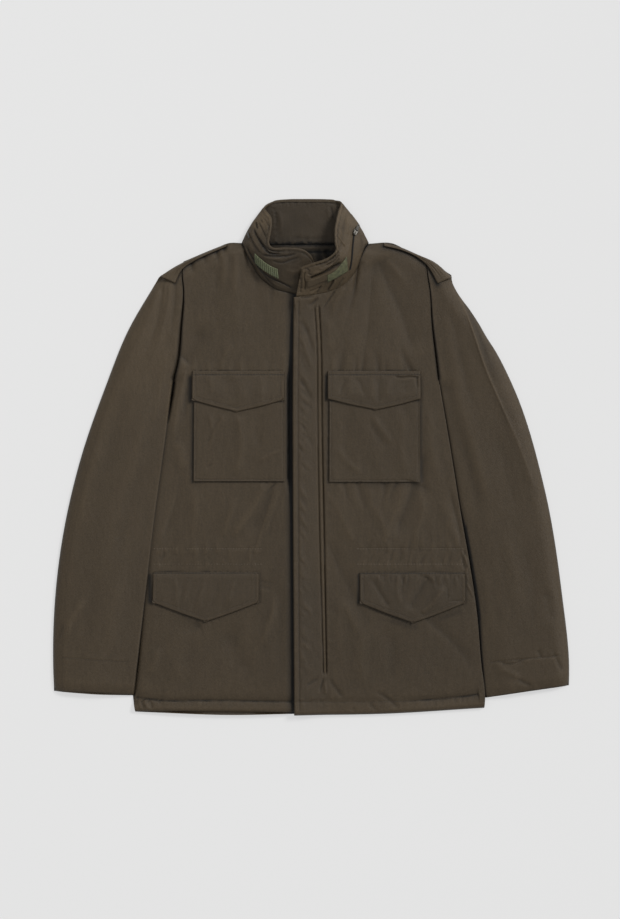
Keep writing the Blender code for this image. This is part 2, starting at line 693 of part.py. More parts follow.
def build_slider(frame):
    """The slider: a body that widens towards its nose, with the lug that the pull hangs on."""
    nose_x = SLIDER_LONG / 2 - NOSE_ROUND
    nose_y = SLIDER_NOSE / 2 - NOSE_ROUND
    outline = [
        (-SLIDER_LONG / 2, -SLIDER_TAIL / 2),
        *arc((nose_x, -nose_y), NOSE_ROUND, -90, 0),
        *arc((nose_x, nose_y), NOSE_ROUND, 0, 90),
        (-SLIDER_LONG / 2, SLIDER_TAIL / 2),
    ]
    body = closed_mesh("zip_slider", flat_outline("slider_outline", [outline], SLIDER_HIGH))
    piece = add_object("zip_slider", body, "zip_metal")
    piece.matrix_world = turn_to(frame, (0, 0, SLIDER_HIGH / 2))
    block = bmesh.new()
    bmesh.ops.create_cube(block, size=1.0)
    bmesh.ops.scale(block, vec=(LUG_LONG * MM, LUG_WIDE * MM, (LUG_HIGH + SINK) * MM), verts=block.verts)
    lug = bpy.data.meshes.new("slider_lug")
    block.to_mesh(lug)
    block.free()
    join = piece.modifiers.new("lug", "BOOLEAN")
    join.operation = "UNION"
    join.object = helper("slider_lug", lug, turn_to(frame, (-LUG_BACK, 0, SLIDER_HIGH + (LUG_HIGH - SINK) / 2)))
    return piece


def build_pull(frame):
    """The pull tab, its origin on its hinge at the slider's nose, with an eye at its free end."""
    half = PULL_WIDE / 2
    near_x = PULL_ROUND - PULL_THICK / 2
    near_y = half - PULL_ROUND
    outline = [
        *arc((near_x, -near_y), PULL_ROUND, 180, 270),
        *arc((PULL_LONG - half, 0), half, -90, 90),
        *arc((near_x, near_y), PULL_ROUND, 90, 180),
    ]
    eye = arc((PULL_LONG - half, 0), PULL_EYE, 0, 360)[:-1]
    tab = closed_mesh("zip_pull", flat_outline("pull_outline", [outline, eye], PULL_THICK))
    piece = add_object("zip_pull", tab, "zip_metal")
    piece.matrix_world = turn_to(frame, (HINGE_FROM_MIDDLE, 0, SLIDER_HIGH + PULL_UP), PULL_DROOP)
    return piece


# ---- the jacket ------------------------------------------------------------------------------


def clear_scene():
    for item in list(bpy.data.objects):
        bpy.data.objects.remove(item, do_unlink=True)
    for name in ("field_jacket", "cutters"):
        made = bpy.data.collections.new(name)
        bpy.context.scene.collection.children.link(made)


def main():
    clear_scene()
    build_back()
    right = solid_tree(build_front_right())
    left = solid_tree(build_front_left(right))
    fronts = [right, left]
    build_welt([left])
    bags = {row.name: solid_tree(build_pocket(row, fronts)) for row in POCKETS}
    for row in FLAPS:
        build_flap(row, fronts + list(bags.values()))
    for side, word in ((RIGHT, "right"), (LEFT, "left")):
        _, upper = build_sleeve(side, f"sleeve_{word}", fronts)
        build_epaulette(f"epaulette_{word}", [*fronts, solid_tree(upper)])
    face, out = collar_face()
    build_collar(face, out)
    build_trim("loop_patch", face, out, LOOP_PATCH, 2 * SEAM, TAPE_WALL, "loop_tape")
    build_trim("collar_tab", face, out, TAB, 2 * SEAM, PATCH_WALL, "shell_cloth")
    build_trim("hook_patch", face, out, HOOK_PATCH, 4 * SEAM + PATCH_WALL, HOOK_THICK, "hook_tape")
    build_zip_tape(face, out)
    build_trim("zip_end", face, out, ZIP_END, 2 * SEAM, 2 * TAPE_WALL, "zip_metal")
    frame = zip_frame(face, out)
    build_slider(frame)
    build_pull(frame)


main()
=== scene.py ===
"""Looks of a field jacket that lies flat on its back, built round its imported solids.

Lengths in the tables are millimetres in the jacket's own frame: +X is the wearer's left, +Y runs from
hem to collar and +Z is up. Each class is one sub-assembly, and each cloth piece is a thin closed shell
that stands for the solid of its name. "Right" and "left" are the wearer's.
"""

import logging
import math
from collections.abc import Callable, Sequence
from dataclasses import dataclass
from enum import Enum
from functools import partial
from typing import TypeAlias

import bpy
import numpy as np
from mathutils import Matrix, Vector


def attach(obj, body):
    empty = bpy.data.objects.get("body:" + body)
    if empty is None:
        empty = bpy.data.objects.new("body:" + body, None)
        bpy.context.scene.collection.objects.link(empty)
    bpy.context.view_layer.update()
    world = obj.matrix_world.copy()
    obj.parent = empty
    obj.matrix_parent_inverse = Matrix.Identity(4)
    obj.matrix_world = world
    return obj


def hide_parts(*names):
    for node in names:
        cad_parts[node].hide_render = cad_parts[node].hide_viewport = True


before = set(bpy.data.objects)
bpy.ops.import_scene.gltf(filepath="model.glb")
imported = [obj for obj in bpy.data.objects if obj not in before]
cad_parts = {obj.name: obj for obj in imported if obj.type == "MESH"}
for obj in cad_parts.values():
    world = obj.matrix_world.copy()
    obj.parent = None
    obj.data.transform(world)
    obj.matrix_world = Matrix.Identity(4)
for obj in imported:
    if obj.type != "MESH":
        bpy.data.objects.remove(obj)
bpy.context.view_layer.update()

MM = 0.001
LOG = logging.getLogger("field_jacket")
Array = np.ndarray
Points = Sequence[tuple[float, ...]]
Spot = tuple[float, float]
HeightMap = Callable[[Array, Array], Array]
Line = tuple[Array, Array]  # points along a line, and the ways out of the cloth there


# ---- paths, grids and fields -----------------------------------------------------------------


def eased(share: Array) -> Array:
    """Returns a share from 0 to 1 with soft ends."""
    held = np.clip(share, 0.0, 1.0)
    return held * held * (3.0 - 2.0 * held)


def rounded(share: Array) -> Array:
    """Returns the height of a quarter round at a share of its radius."""
    held = np.clip(share, 0.0, 1.0)
    return np.sqrt(1.0 - (1.0 - held) ** 2)


def bell(share: Array) -> Array:
    """Returns a bell curve, which is 1 at 0 and has all but died away at 2."""
    return np.exp(-(share**2))


def cubic(t: Array, start: Array, leaving: Array, end: Array, arriving: Array, span: float = 1.0) -> Array:
    """Reads a smooth curve between two ends.

    Args:
        t: shares of the way from the start to the end.
        start: what the curve is at its start.
        leaving: its slope there.
        end: what it is at its end.
        arriving: its slope there.
        span: how far apart the ends are, where the slopes are for each millimetre.

    Returns:
        What the curve is at each share.
    """
    return (
        (2 * t**3 - 3 * t**2 + 1) * start
        + (t**3 - 2 * t**2 + t) * span * leaving
        + (3 * t**2 - 2 * t**3) * end
        + (t**3 - t**2) * span * arriving
    )


def hermite(rows: Array, places: Array) -> Array:
    """Reads a table smoothly between its rows.

    Args:
        rows: the table, one row for each whole place.
        places: where to read it, from 0 to the last row's number.

    Returns:
        One row for each place.
    """
    slopes = np.gradient(rows, axis=0)
    low = np.minimum(places.astype(int), len(rows) - 2)
    return cubic((places - low)[:, None], rows[low], slopes[low], rows[low + 1], slopes[low + 1])


class Track:
    """A path through points: smooth within a leg, cornered where two legs meet."""

    def __init__(self, *legs: Points) -> None:
        """Lays the path.

        Args:
            legs: the points of each leg, whose ends meet.
        """
        runs = [self._smooth(np.array(leg, float)) for leg in legs]
        self.line = np.concatenate([runs[0], *[run[1:] for run in runs[1:]]])
        steps = np.linalg.norm(np.diff(self.line, axis=0), axis=1)
        self.reach = np.concatenate([[0.0], np.cumsum(steps)])

    @staticmethod
    def _smooth(points: Array) -> Array:
        """Fills in a smooth curve between points.

        Args:
            points: the points that the curve passes.

        Returns:
            The points and those between them.
        """
        if len(points) < 3:
            return points
        at = np.concatenate([[0.0], np.cumsum(np.linalg.norm(np.diff(points, axis=0), axis=1))])
        slopes = np.gradient(points, at, axis=0)
        t = np.linspace(0.0, 1.0, 12, endpoint=False)[:, None]
        ends = list(zip(points, slopes))
        parts = [cubic(t, *one, *other, span) for one, other, span in zip(ends, ends[1:], np.diff(at))]
        return np.concatenate([*parts, points[-1:]])

    @property
    def length(self) -> float:
        """The path's length."""
        return float(self.reach[-1])

    def at(self, shares: Array) -> Array:
        """Returns the points at these shares of the length."""
        wanted = np.asarray(shares, float) * self.length
        return np.stack([np.interp(wanted, self.reach, axis) for axis in self.line.T], axis=-1)

    def away(self, x: Array, y: Array, step: float = 9.0) -> Array:
        """Returns how far places are from the path.

        Args:
            x: places along X.
            y: places along Y.
            step: how finely the path is followed.

        Returns:
            The distance at each place.
        """
        count = max(2, math.ceil(self.length / step) + 1)
        return nearest(x, y, self.at(np.linspace(0.0, 1.0, count)))[0]


def nearest(x: Array, y: Array, line: Array) -> tuple[Array, Array, Array]:
    """Measures places against a line of points.

    Args:
        x: places along X.
        y: places along Y.
        line: the line's points.

    Returns:
        The distance, a number above 0 on the line's left, and the share of the line that is nearest.
    """
    best = np.full(x.shape, np.inf)
    side = np.zeros(x.shape)
    share = np.zeros(x.shape)
    legs = len(line) - 1
    for k in range(legs):
        (ax, ay), (bx, by) = line[k], line[k + 1] - line[k]
        px, py = x - ax, y - ay
        t = np.clip((px * bx + py * by) / max(bx * bx + by * by, 1e-9), 0.0, 1.0)
        gap = (px - t * bx) ** 2 + (py - t * by) ** 2
        closer = gap < best
        best = np.where(closer, gap, best)
        side = np.where(closer, bx * py - by * px, side)
        share = np.where(closer, (k + t) / legs, share)
    return np.sqrt(best), side, share


def stations(length: float, step: float, fine: float, *bands: tuple[float, float]) -> Array:
    """Places grid lines along a length, closer together in its detailed bands.

    Args:
        length: the length, in millimetres.
        step: the usual spacing.
        fine: the spacing in the bands.
        bands: where each band starts and stops, in millimetres; a last one may run on for ever.

    Returns:
        Shares of the length, from 0 to 1.
    """
    places = [0.0]
    while places[-1] < length:
        here = places[-1]
        close = any(low <= here < high for low, high in bands)
        ahead = here + (fine if close else step)
        starts = [low for low, _ in bands if here < low < ahead]
        places.append(min([ahead, *starts]))
    return np.array(places) / places[-1]


@dataclass
class Outline:
    """Four edges round a cloth piece: bottom and top run start to end, start and end run bottom to top."""

    bottom: Track
    top: Track
    start: Track
    end: Track

    def grid(self, us: Array, vs: Array) -> Array:
        """Fills the outline with points.

        Args:
            us: shares along the bottom and top.
            vs: shares along the start and end.

        Returns:
            The points, columns by rows.
        """
        u, v = us[:, None, None], vs[None, :, None]
        bottom, top = self.bottom.at(us), self.top.at(us)
        start, end = self.start.at(vs), self.end.at(vs)
        across = (1 - v) * bottom[:, None] + v * top[:, None]
        along = (1 - u) * start[None] + u * end[None]
        corners = (1 - u) * ((1 - v) * bottom[0] + v * top[0]) + u * ((1 - v) * bottom[-1] + v * top[-1])
        return across + along - corners


# ---- relief of the cloth ---------------------------------------------------------------------


FULL = (0.0, 0.0)  # the fade of a mark that stays whole up to its two ends


@dataclass(frozen=True)
class Fold:
    """A crease or a swell along a path; its height is below zero for a trough."""

    path: Points
    height: float
    width: float
    left: float = 1.0  # the left flank's width, as a share of the right one's
    sharp: float = 1.75  # 2 is a round crest, near 1 a crisp one
    fade: tuple[float, float] = (0.3, 0.3)  # shares of the path over which its two ends die away

    def lift(self, x: Array, y: Array) -> Array:
        """Works out what the fold adds to the cloth.

        Args:
            x: places along X.
            y: places along Y.

        Returns:
            The height that it adds at each place.
        """
        out = np.zeros(x.shape)
        line = Track(self.path).at(np.linspace(0.0, 1.0, 2 if len(self.path) == 2 else 14))
        margin = 2.6 * self.width * max(1.0, self.left)
        low, high = line.min(0) - margin, line.max(0) + margin
        near = (x > low[0]) & (x < high[0]) & (y > low[1]) & (y < high[1])
        if near.any():
            gap, side, share = nearest(x[near], y[near], line)
            width = np.where(side > 0, self.width * self.left, self.width)
            ends = eased(share / max(self.fade[0], 1e-3)) * eased((1 - share) / max(self.fade[1], 1e-3))
            out[near] = self.height * np.exp(-((gap / width) ** self.sharp)) * ends
        return out


@dataclass(frozen=True)
class Puckers:
    """Short gathers that run off a seam, uneven in length, height and angle."""

    path: Points
    spacing: float
    reach: float
    height: float
    width: float
    slant: float = 0.0  # degrees that they lean off square
    seed: int = 1
    fade: tuple[float, float] = (0.1, 0.9)

    def lift(self, x: Array, y: Array) -> Array:
        """Works out what the gathers add to the cloth, which run to the path's left.

        Args:
            x: places along X.
            y: places along Y.

        Returns:
            The height that they add at each place.
        """
        rng = np.random.default_rng(self.seed)
        track = Track(self.path)
        count = max(1, round(track.length / self.spacing))
        at = (np.arange(count) + 0.5 + rng.uniform(-0.32, 0.32, count)) / count
        foot, ahead = track.at(at), track.at(np.minimum(at + 0.01, 1.0))
        behind = track.at(np.maximum(at - 0.01, 0.0))
        heading = np.arctan2(*(ahead - behind).T[::-1]) + np.pi / 2
        heading += np.radians(self.slant + rng.uniform(-14, 14, count))
        reach = self.reach * rng.uniform(0.4, 1.0, count)
        tip = foot + np.stack([np.cos(heading), np.sin(heading)], axis=1) * reach[:, None]
        height = self.height * rng.uniform(0.35, 1.0, count)
        width = self.width * rng.uniform(0.8, 1.25, count)
        out = np.zeros(x.shape)
        for k in range(count):
            gather = Fold((tuple(foot[k]), tuple(tip[k])), height[k], width[k], fade=self.fade)
            out += gather.lift(x, y)
        return out


@dataclass(frozen=True)
class Crumple:
    """Soft uneven relief all over, longer one way than the other."""

    height: float
    long: float
    short: float
    turn: float = 90.0  # degrees from +X to the long way
    seed: int = 1

    def lift(self, x: Array, y: Array) -> Array:
        """Works out the relief.

        Args:
            x: places along X.
            y: places along Y.

        Returns:
            The height at each place.
        """
        turn = math.radians(self.turn)
        u = (x * math.cos(turn) + y * math.sin(turn)) / self.long
        v = (y * math.cos(turn) - x * math.sin(turn)) / self.short
        table = np.random.default_rng(self.seed).uniform(-1.0, 1.0, (64, 64))
        iu, iv = np.floor(u).astype(int), np.floor(v).astype(int)
        fu, fv = eased(u - iu), eased(v - iv)
        corner = [[table[(iu + a) % 64, (iv + b) % 64] for b in (0, 1)] for a in (0, 1)]
        near = corner[0][0] * (1 - fv) + corner[0][1] * fv
        far = corner[1][0] * (1 - fv) + corner[1][1] * fv
        return self.height * (near * (1 - fu) + far * fu)


class Relief:
    """All the marks on one piece."""

    def __init__(self, *marks: Fold | Puckers | Crumple, strength: float = 1.0) -> None:
        """Keeps the marks and the share of their heights that shows."""
        self.marks = marks
        self.strength = strength

    def lift(self, x: Array, y: Array) -> Array:
        """Adds up the marks.

        Args:
            x: places along X.
            y: places along Y.

        Returns:
            The height that they add at each place.
        """
        total = np.zeros(x.shape)
        for mark in self.marks:
            total += mark.lift(x, y)
        return total * self.strength


# ---- shader maths ----------------------------------------------------------------------------


Value: TypeAlias = "Wire | bpy.types.NodeSocket | float | tuple[float, ...]"


def feed(socket: bpy.types.NodeSocket, value: Value) -> None:
    """Gives a node's input what it reads.

    Args:
        socket: the input.
        value: a wire or an output to link to it, or its own value.
    """
    source = value.socket if isinstance(value, Wire) else value
    if isinstance(source, bpy.types.NodeSocket):
        socket.id_data.links.new(source, socket)
    else:
        socket.default_value = source


def add_node(
    tree: bpy.types.NodeTree,
    kind: str,
    settings: dict[str, object],
    inputs: dict[int | str, Value],
) -> bpy.types.Node:
    """Adds a node.

    Args:
        tree: the tree that it joins.
        kind: its type.
        settings: its own properties, which are set first.
        inputs: values or links for its inputs, by name or number.

    Returns:
        The node.
    """
    made = tree.nodes.new(kind)
    for key, value in settings.items():
        setattr(made, key, value)
    for key, value in inputs.items():
        feed(made.inputs[key], value)
    return made


class Wire:
    """A shader socket that takes part in Python expressions."""

    def __init__(self, bench: "Bench", socket: bpy.types.NodeSocket) -> None:
        """Wraps a socket of the bench's tree."""
        self.bench = bench
        self.socket = socket

    def _math(self, operation: str, a: "Wire | float", b: "Wire | float") -> "Wire":
        """Returns a Math node's result."""
        return self.bench.node("ShaderNodeMath", {"operation": operation}, {0: a, 1: b})

    def __add__(self, other: "Wire | float") -> "Wire":
        """Adds."""
        return self._math("ADD", self, other)

    __radd__ = __add__

    def __mul__(self, other: "Wire | float") -> "Wire":
        """Multiplies."""
        return self._math("MULTIPLY", self, other)

    __rmul__ = __mul__

    def __sub__(self, other: "Wire | float") -> "Wire":
        """Subtracts."""
        return self._math("SUBTRACT", self, other)

    def __rsub__(self, other: float) -> "Wire":
        """Subtracts from a number."""
        return self._math("SUBTRACT", other, self)

    def sine(self) -> "Wire":
        """Returns the sine."""
        return self._math("SINE", self, 0.0)


class Bench:
    """A material's node tree, with its surface shader, on which a finish is laid."""

    def __init__(self, name: str) -> None:
        """Starts a material with a plain surface shader.

        Args:
            name: the material's name.
        """
        self.material = bpy.data.materials.new(name)
        self.material.use_nodes = True
        self.tree = self.material.node_tree
        self.surface = self.tree.nodes["Principled BSDF"]

    def node(
        self,
        kind: str,
        settings: dict[str, object] | None = None,
        inputs: dict[int | str, Value] | None = None,
        output: int | str = 0,
    ) -> Wire:
        """Adds a node.

        Args:
            kind: the node's type.
            settings: its own properties.
            inputs: values or wires for its inputs, by name or number.
            output: which output to return.

        Returns:
            The output as a wire.
        """
        return Wire(self, add_node(self.tree, kind, settings or {}, inputs or {}).outputs[output])

    def dress(self, **inputs: Value) -> None:
        """Sets inputs of the surface shader, named with underscores for spaces."""
        for name, value in inputs.items():
            feed(self.surface.inputs[name.replace("_", " ")], value)

    def place(self) -> Wire:
        """Returns the place on the object, in metres."""
        return self.node("ShaderNodeTexCoord", output="Object")

    def split(self, vector: Wire) -> tuple[Wire, ...]:
        """Returns a vector's three parts."""
        first = self.node("ShaderNodeSeparateXYZ", {}, {0: vector})
        return tuple(Wire(self, socket) for socket in first.socket.node.outputs)

    def noise(self, vector: Wire, size: float, detail: float = 2.0, rough: float = 0.5) -> Wire:
        """Returns a noise from 0 to 1 whose lumps are about size metres across."""
        inputs = {"Vector": vector, "Scale": 1.0 / size, "Detail": detail, "Roughness": rough}
        return self.node("ShaderNodeTexNoise", {}, inputs)

    def blend(self, share: Wire, low: tuple[float, ...], high: tuple[float, ...]) -> Wire:
        """Returns a colour between two by a share."""
        settings = {"data_type": "RGBA", "blend_type": "MIX"}
        return self.node("ShaderNodeMix", settings, {0: share, 6: low, 7: high}, output=2)

    def bump(self, height: Wire, depth: float) -> Wire:
        """Returns a normal that follows a height; depth is in metres."""
        return self.node("ShaderNodeBump", {}, {"Height": height, "Distance": depth, "Strength": 1.0})


# ---- finishes --------------------------------------------------------------------------------


Colour = tuple[float, float, float]


def tinted(colour: Colour, share: float) -> tuple[float, float, float, float]:
    """Returns a colour with its brightness changed by a share, and full alpha."""
    return (colour[0] * share, colour[1] * share, colour[2] * share, 1.0)


@dataclass(frozen=True)
class ShellCloth:
    """Closely woven shell cloth with a low sheen."""

    name: str = "shell_cloth"
    colour: Colour = (0.0527, 0.0373, 0.0210)
    mottle: float = 0.48  # how far the brightness wanders
    roughness: float = 0.50
    sheen: float = 0.04
    yarn: float = 0.00062  # metres from yarn to yarn

    def material(self) -> bpy.types.Material:
        """Makes the finish: weave, faint slubs, a soft crinkle and the painted light and shade that each
        piece carries.

        Returns:
            The material.
        """
        bench = Bench(self.name)
        place = bench.place()
        x, y, _ = bench.split(place)
        cloud = bench.noise(place, 0.045, 3.0, 0.55)
        grain = bench.noise(place, 0.0027, 2.0, 0.6)
        slub = bench.noise(self._stretched(bench, place), 0.0035, 1.0, 0.5)
        share = cloud * 0.15 + grain * 0.60 + slub * 0.25
        low, high = tinted(self.colour, 1 - self.mottle), tinted(self.colour, 1 + self.mottle)
        weave = (x * (2 * math.pi / self.yarn)).sine() * (y * (2 * math.pi / self.yarn)).sine()
        crinkle = bench.noise(place, 0.007, 3.0, 0.55)
        wrinkle = bench.noise(place, 0.022, 2.0, 0.5)
        steep = self._creases(bench, place, 0.075, 0.021, 78.0)
        creases = steep + self._creases(bench, place, 0.055, 0.016, 108.0)
        height = weave * 0.05 + crinkle * 0.09 + wrinkle * 0.24 + grain * 0.12 + creases * 0.48
        # painted shading: each piece's painted shade in gaps, creases, hollows and under other parts darkens
        # the base colour; below zero it is painted light that brightens it
        painted_shading = bench.node("ShaderNodeAttribute", {"attribute_name": "painted_shading"}, output="Fac")
        shaded = {0: bench.blend(share, low, high), "Scale": 1.0 - painted_shading}
        bench.dress(
            Base_Color=bench.node("ShaderNodeVectorMath", {"operation": "SCALE"}, shaded),
            Roughness=self.roughness - 0.08 + grain * 0.16,
            Normal=bench.bump(height, 0.0011),
            Sheen_Weight=self.sheen,
            Sheen_Roughness=0.45,
            Sheen_Tint=(0.95, 0.86, 0.72, 1.0),
            Specular_IOR_Level=0.26,
        )
        return bench.material

    @staticmethod
    def _creases(bench: Bench, place: Wire, long: float, short: float, turn: float) -> Wire:
        """Returns thin crisp creases that run mostly one way.

        Args:
            bench: the material's bench.
            place: the place on the object.
            long: how long the creases are, in metres.
            short: how far apart they are.
            turn: degrees from +X to the way that they run.

        Returns:
            Their height, lowest along each crease.
        """
        back, squeeze = (0.0, 0.0, -math.radians(turn)), (1 / long, 1 / short, 1 / short)
        turned = bench.node("ShaderNodeMapping", {}, {"Vector": place, "Rotation": back})
        scaled = bench.node("ShaderNodeMapping", {}, {"Vector": turned, "Scale": squeeze})
        inputs = {"Vector": scaled, "Scale": 1.0, "Detail": 1.0, "Distortion": 0.6}
        swirl = bench.node("ShaderNodeTexNoise", {}, inputs)
        return bench.node("ShaderNodeMath", {"operation": "ABSOLUTE"}, {0: swirl - 0.5})

    def _stretched(self, bench: Bench, place: Wire) -> Wire:
        """Returns the place squeezed along Y, for yarns that run that way."""
        return bench.node("ShaderNodeMapping", {}, {"Vector": place, "Scale": (1.0, 0.12, 1.0)})


@dataclass(frozen=True)
class PlainTape:
    """Woven or moulded tape with a fine grain."""

    name: str
    colour: Colour
    mottle: float = 0.22
    roughness: float = 0.85
    grain: float = 0.0012

    def material(self) -> bpy.types.Material:
        """Makes the finish.

        Returns:
            The material.
        """
        bench = Bench(self.name)
        place = bench.place()
        fine = bench.noise(place, self.grain, 2.0, 0.6)
        low, high = tinted(self.colour, 1 - self.mottle), tinted(self.colour, 1 + self.mottle)
        bench.dress(
            Base_Color=bench.blend(fine, low, high),
            Roughness=self.roughness,
            Normal=bench.bump(fine, 0.0004),
        )
        return bench.material


@dataclass(frozen=True)
class PlatedMetal:
    """Plated zip metal with faint scuffs."""

    name: str = "plated_metal"
    colour: Colour = (0.115, 0.11, 0.10)
    roughness: float = 0.30

    def material(self) -> bpy.types.Material:
        """Makes the finish.

        Returns:
            The material.
        """
        bench = Bench(self.name)
        place = bench.place()
        scuff = bench.noise(place, 0.0011, 3.0, 0.65)
        bench.dress(
            Base_Color=bench.blend(scuff, tinted(self.colour, 0.8), tinted(self.colour, 1.15)),
            Roughness=self.roughness - 0.08 + scuff * 0.2,
            Metallic=1.0,
            Normal=bench.bump(scuff, 0.00012),
        )
        return bench.material


class Finish(Enum):
    """The jacket's finishes."""

    SHELL = "shell_cloth"
    LOOP = "loop_tape"
    HOOK = "hook_tape"
    TAPE = "zip_tape"
    METAL = "zip_metal"


class Wardrobe:
    """The materials, and the tree that sews, each made once."""

    def __init__(self) -> None:
        """Makes every material and the tree."""
        self.stitch_row = RowTree("stitch_row", thread_shape)
        hook = PlainTape("hook_tape_green", (0.067, 0.069, 0.032), mottle=1.0, roughness=0.7, grain=0.0040)
        self.cloth = {
            Finish.SHELL: ShellCloth().material(),
            Finish.LOOP: PlainTape("loop_tape_green", (0.096, 0.106, 0.058)).material(),
            Finish.HOOK: hook.material(),
            Finish.TAPE: PlainTape("zip_tape_dark", (0.004, 0.0035, 0.003), roughness=0.9).material(),
            Finish.METAL: PlatedMetal().material(),
        }
        # painted shade: a darker copy of the shell cloth for the back's inside and the collar's lining, which
        # lie in the collar's shade
        self.inside = ShellCloth("shell_cloth_painted_shade_inside", (0.0400, 0.0290, 0.0175), roughness=0.6).material()
        self.thread = self._thread("thread_brown", (0.050, 0.038, 0.026), 0.6)
        self.dark_thread = self._thread("thread_dark", (0.012, 0.009, 0.006), 0.7)
        self.pale_thread = PlainTape("thread_pale", (0.150, 0.118, 0.082), roughness=0.6).material()
        self.rib = self._thread("loop_rib", (0.132, 0.144, 0.080), 0.9)

    @staticmethod
    def _thread(name: str, colour: Colour, roughness: float) -> bpy.types.Material:
        """Returns a finely twisted thread's material."""
        return PlainTape(name, colour, roughness=roughness, grain=0.0006).material()


# ---- meshes ----------------------------------------------------------------------------------


def facing(grid: Array) -> Array:
    """Returns the unit normals of a grid of points."""
    normals = np.cross(np.gradient(grid, axis=0), np.gradient(grid, axis=1))
    return normals / np.maximum(np.linalg.norm(normals, axis=-1, keepdims=True), 1e-9)


def softened(grid: Array, rounds: int) -> Array:
    """Blurs a grid of vectors along both ways.

    Args:
        grid: the vectors.
        rounds: how many times each is mixed with its neighbours.

    Returns:
        The blurred grid.
    """
    for _ in range(rounds):
        for axis in (0, 1):
            count = grid.shape[axis]
            padded = np.concatenate([np.take(grid, [0], axis), grid, np.take(grid, [-1], axis)], axis)
            before, here, after = (np.take(padded, np.arange(k, k + count), axis) for k in range(3))
            grid = (before + 2 * here + after) / 4
    return grid


def raised(plan: Array, heights: Array) -> Array:
    """Returns the points of a plan with their heights."""
    return np.concatenate([plan, heights[..., None]], axis=-1)


def link(name: str, mesh: bpy.types.Mesh, material: bpy.types.Material) -> bpy.types.Object:
    """Puts a mesh in the scene.

    Args:
        name: the new object's name.
        mesh: its mesh.
        material: its one material.

    Returns:
        The new object.
    """
    mesh.materials.clear()
    mesh.materials.append(material)
    piece = bpy.data.objects.new(name, mesh)
    bpy.context.scene.collection.objects.link(piece)
    return piece


def grid_mesh(
    name: str,
    face: Array,
    back: Array,
    material: bpy.types.Material,
    painted_shading: Array | None = None,
) -> bpy.types.Object:
    """Makes a closed shell from two matching grids.

    Args:
        name: the piece's name.
        face: the points that face out, in millimetres.
        back: the points behind them.
        material: the shell's material.
        painted_shading: the painted shade at each point, darkest in gaps, creases and hollows; below zero it
            is painted light.

    Returns:
        The new object.
    """
    columns, rows = face.shape[:2]
    count = columns * rows
    index = np.arange(count).reshape(columns, rows)
    quads = np.stack([index[:-1, :-1], index[1:, :-1], index[1:, 1:], index[:-1, 1:]], axis=-1).reshape(-1, 4)
    rim = np.concatenate([index[:, 0], index[-1, 1:], index[-2::-1, -1], index[0, -2:0:-1]])
    ahead = np.roll(rim, -1)
    sides = np.stack([ahead, rim, rim + count, ahead + count], axis=-1)
    faces = np.concatenate([quads, quads[:, ::-1] + count, sides])
    mesh = bpy.data.meshes.new(name)
    mesh.vertices.add(2 * count)
    points = np.concatenate([face.reshape(-1, 3), back.reshape(-1, 3)]) * MM
    mesh.vertices.foreach_set("co", points.astype(np.float32).ravel())
    mesh.loops.add(faces.size)
    mesh.loops.foreach_set("vertex_index", faces.astype(np.int32).ravel())
    mesh.polygons.add(len(faces))
    mesh.polygons.foreach_set("loop_start", np.arange(0, faces.size, 4, dtype=np.int32))
    mesh.update(calc_edges=True)
    mesh.validate()
    # stores the painted shade and light on both faces of the shell
    if painted_shading is not None:
        shade = mesh.attributes.new("painted_shading", "FLOAT", "POINT")
        shade.data.foreach_set("value", np.concatenate([painted_shading.ravel(), painted_shading.ravel()]).astype(np.float32))
    mesh.shade_smooth()
    mesh.set_sharp_from_angle(angle=math.radians(70))
    return link(name, mesh, material)


def painted_hollow_shade(face: Array, fine: float = 0.30, broad: float = 0.10) -> Array:
    """Works out the painted shade in the cloth's own hollows, and the painted light on its crests.

    Args:
        face: the points, in millimetres.
        fine: the share for each millimetre below the places close by.
        broad: the share for each millimetre below the places further round.

    Returns:
        The share at each point.
    """
    level = face[..., 2:3]
    near, far = softened(level, 4) - level, softened(level, 36) - level
    return np.clip(fine * near + broad * far, -0.14, 0.42)[..., 0]


def falloff(x: Array, y: Array) -> Array:
    """Works out how the light falls off from the right shoulder to the wearer's left and the waist.

    Args:
        x: places along X.
        y: places along Y.

    Returns:
        How much darker the cloth looks at each place.
    """
    tone = 0.015 + 0.03 * eased(x / 160) + 0.04 * eased((-60 - y) / 120) * eased((y + 385) / 60)
    tone -= 0.26 * eased((-196 - x) / 50) * eased((y - 20) / 160)
    return tone - 0.06 * eased((x - 200) / 40) * eased((y - 20) / 120)


def shell(
    name: str,
    face: Array,
    wall: float,
    material: bpy.types.Material,
    painted_shading: Array | None = None,
    floor: float = 0.06,
) -> bpy.types.Object:
    """Makes a thin closed shell behind a grid of points that faces up.

    Args:
        name: the piece's name.
        face: the outer points, in millimetres.
        wall: how thick the shell is.
        material: its material.
        painted_shading: the painted shade at each point, over what is painted for its own hollows and for the
            light's falloff; below zero it is painted light.
        floor: the lowest that its back may lie.

    Returns:
        The new object.
    """
    # painted shade in the piece's own hollows and painted falloff of the light, on top of the painted shade
    # that it is given
    own = painted_hollow_shade(face) + falloff(face[..., 0], face[..., 1])
    shade = np.clip(own + (0.0 if painted_shading is None else painted_shading), -0.2, 0.96)
    if facing(face)[..., 2].mean() < 0:
        face, shade = face[::-1], shade[::-1]
    back = face - wall * facing(softened(face, 2))
    back[..., 2] = np.maximum(back[..., 2], floor)
    face = face.copy()
    face[..., 2] = np.maximum(face[..., 2], back[..., 2] + 0.25)
    return grid_mesh(name, face, back, material, shade)


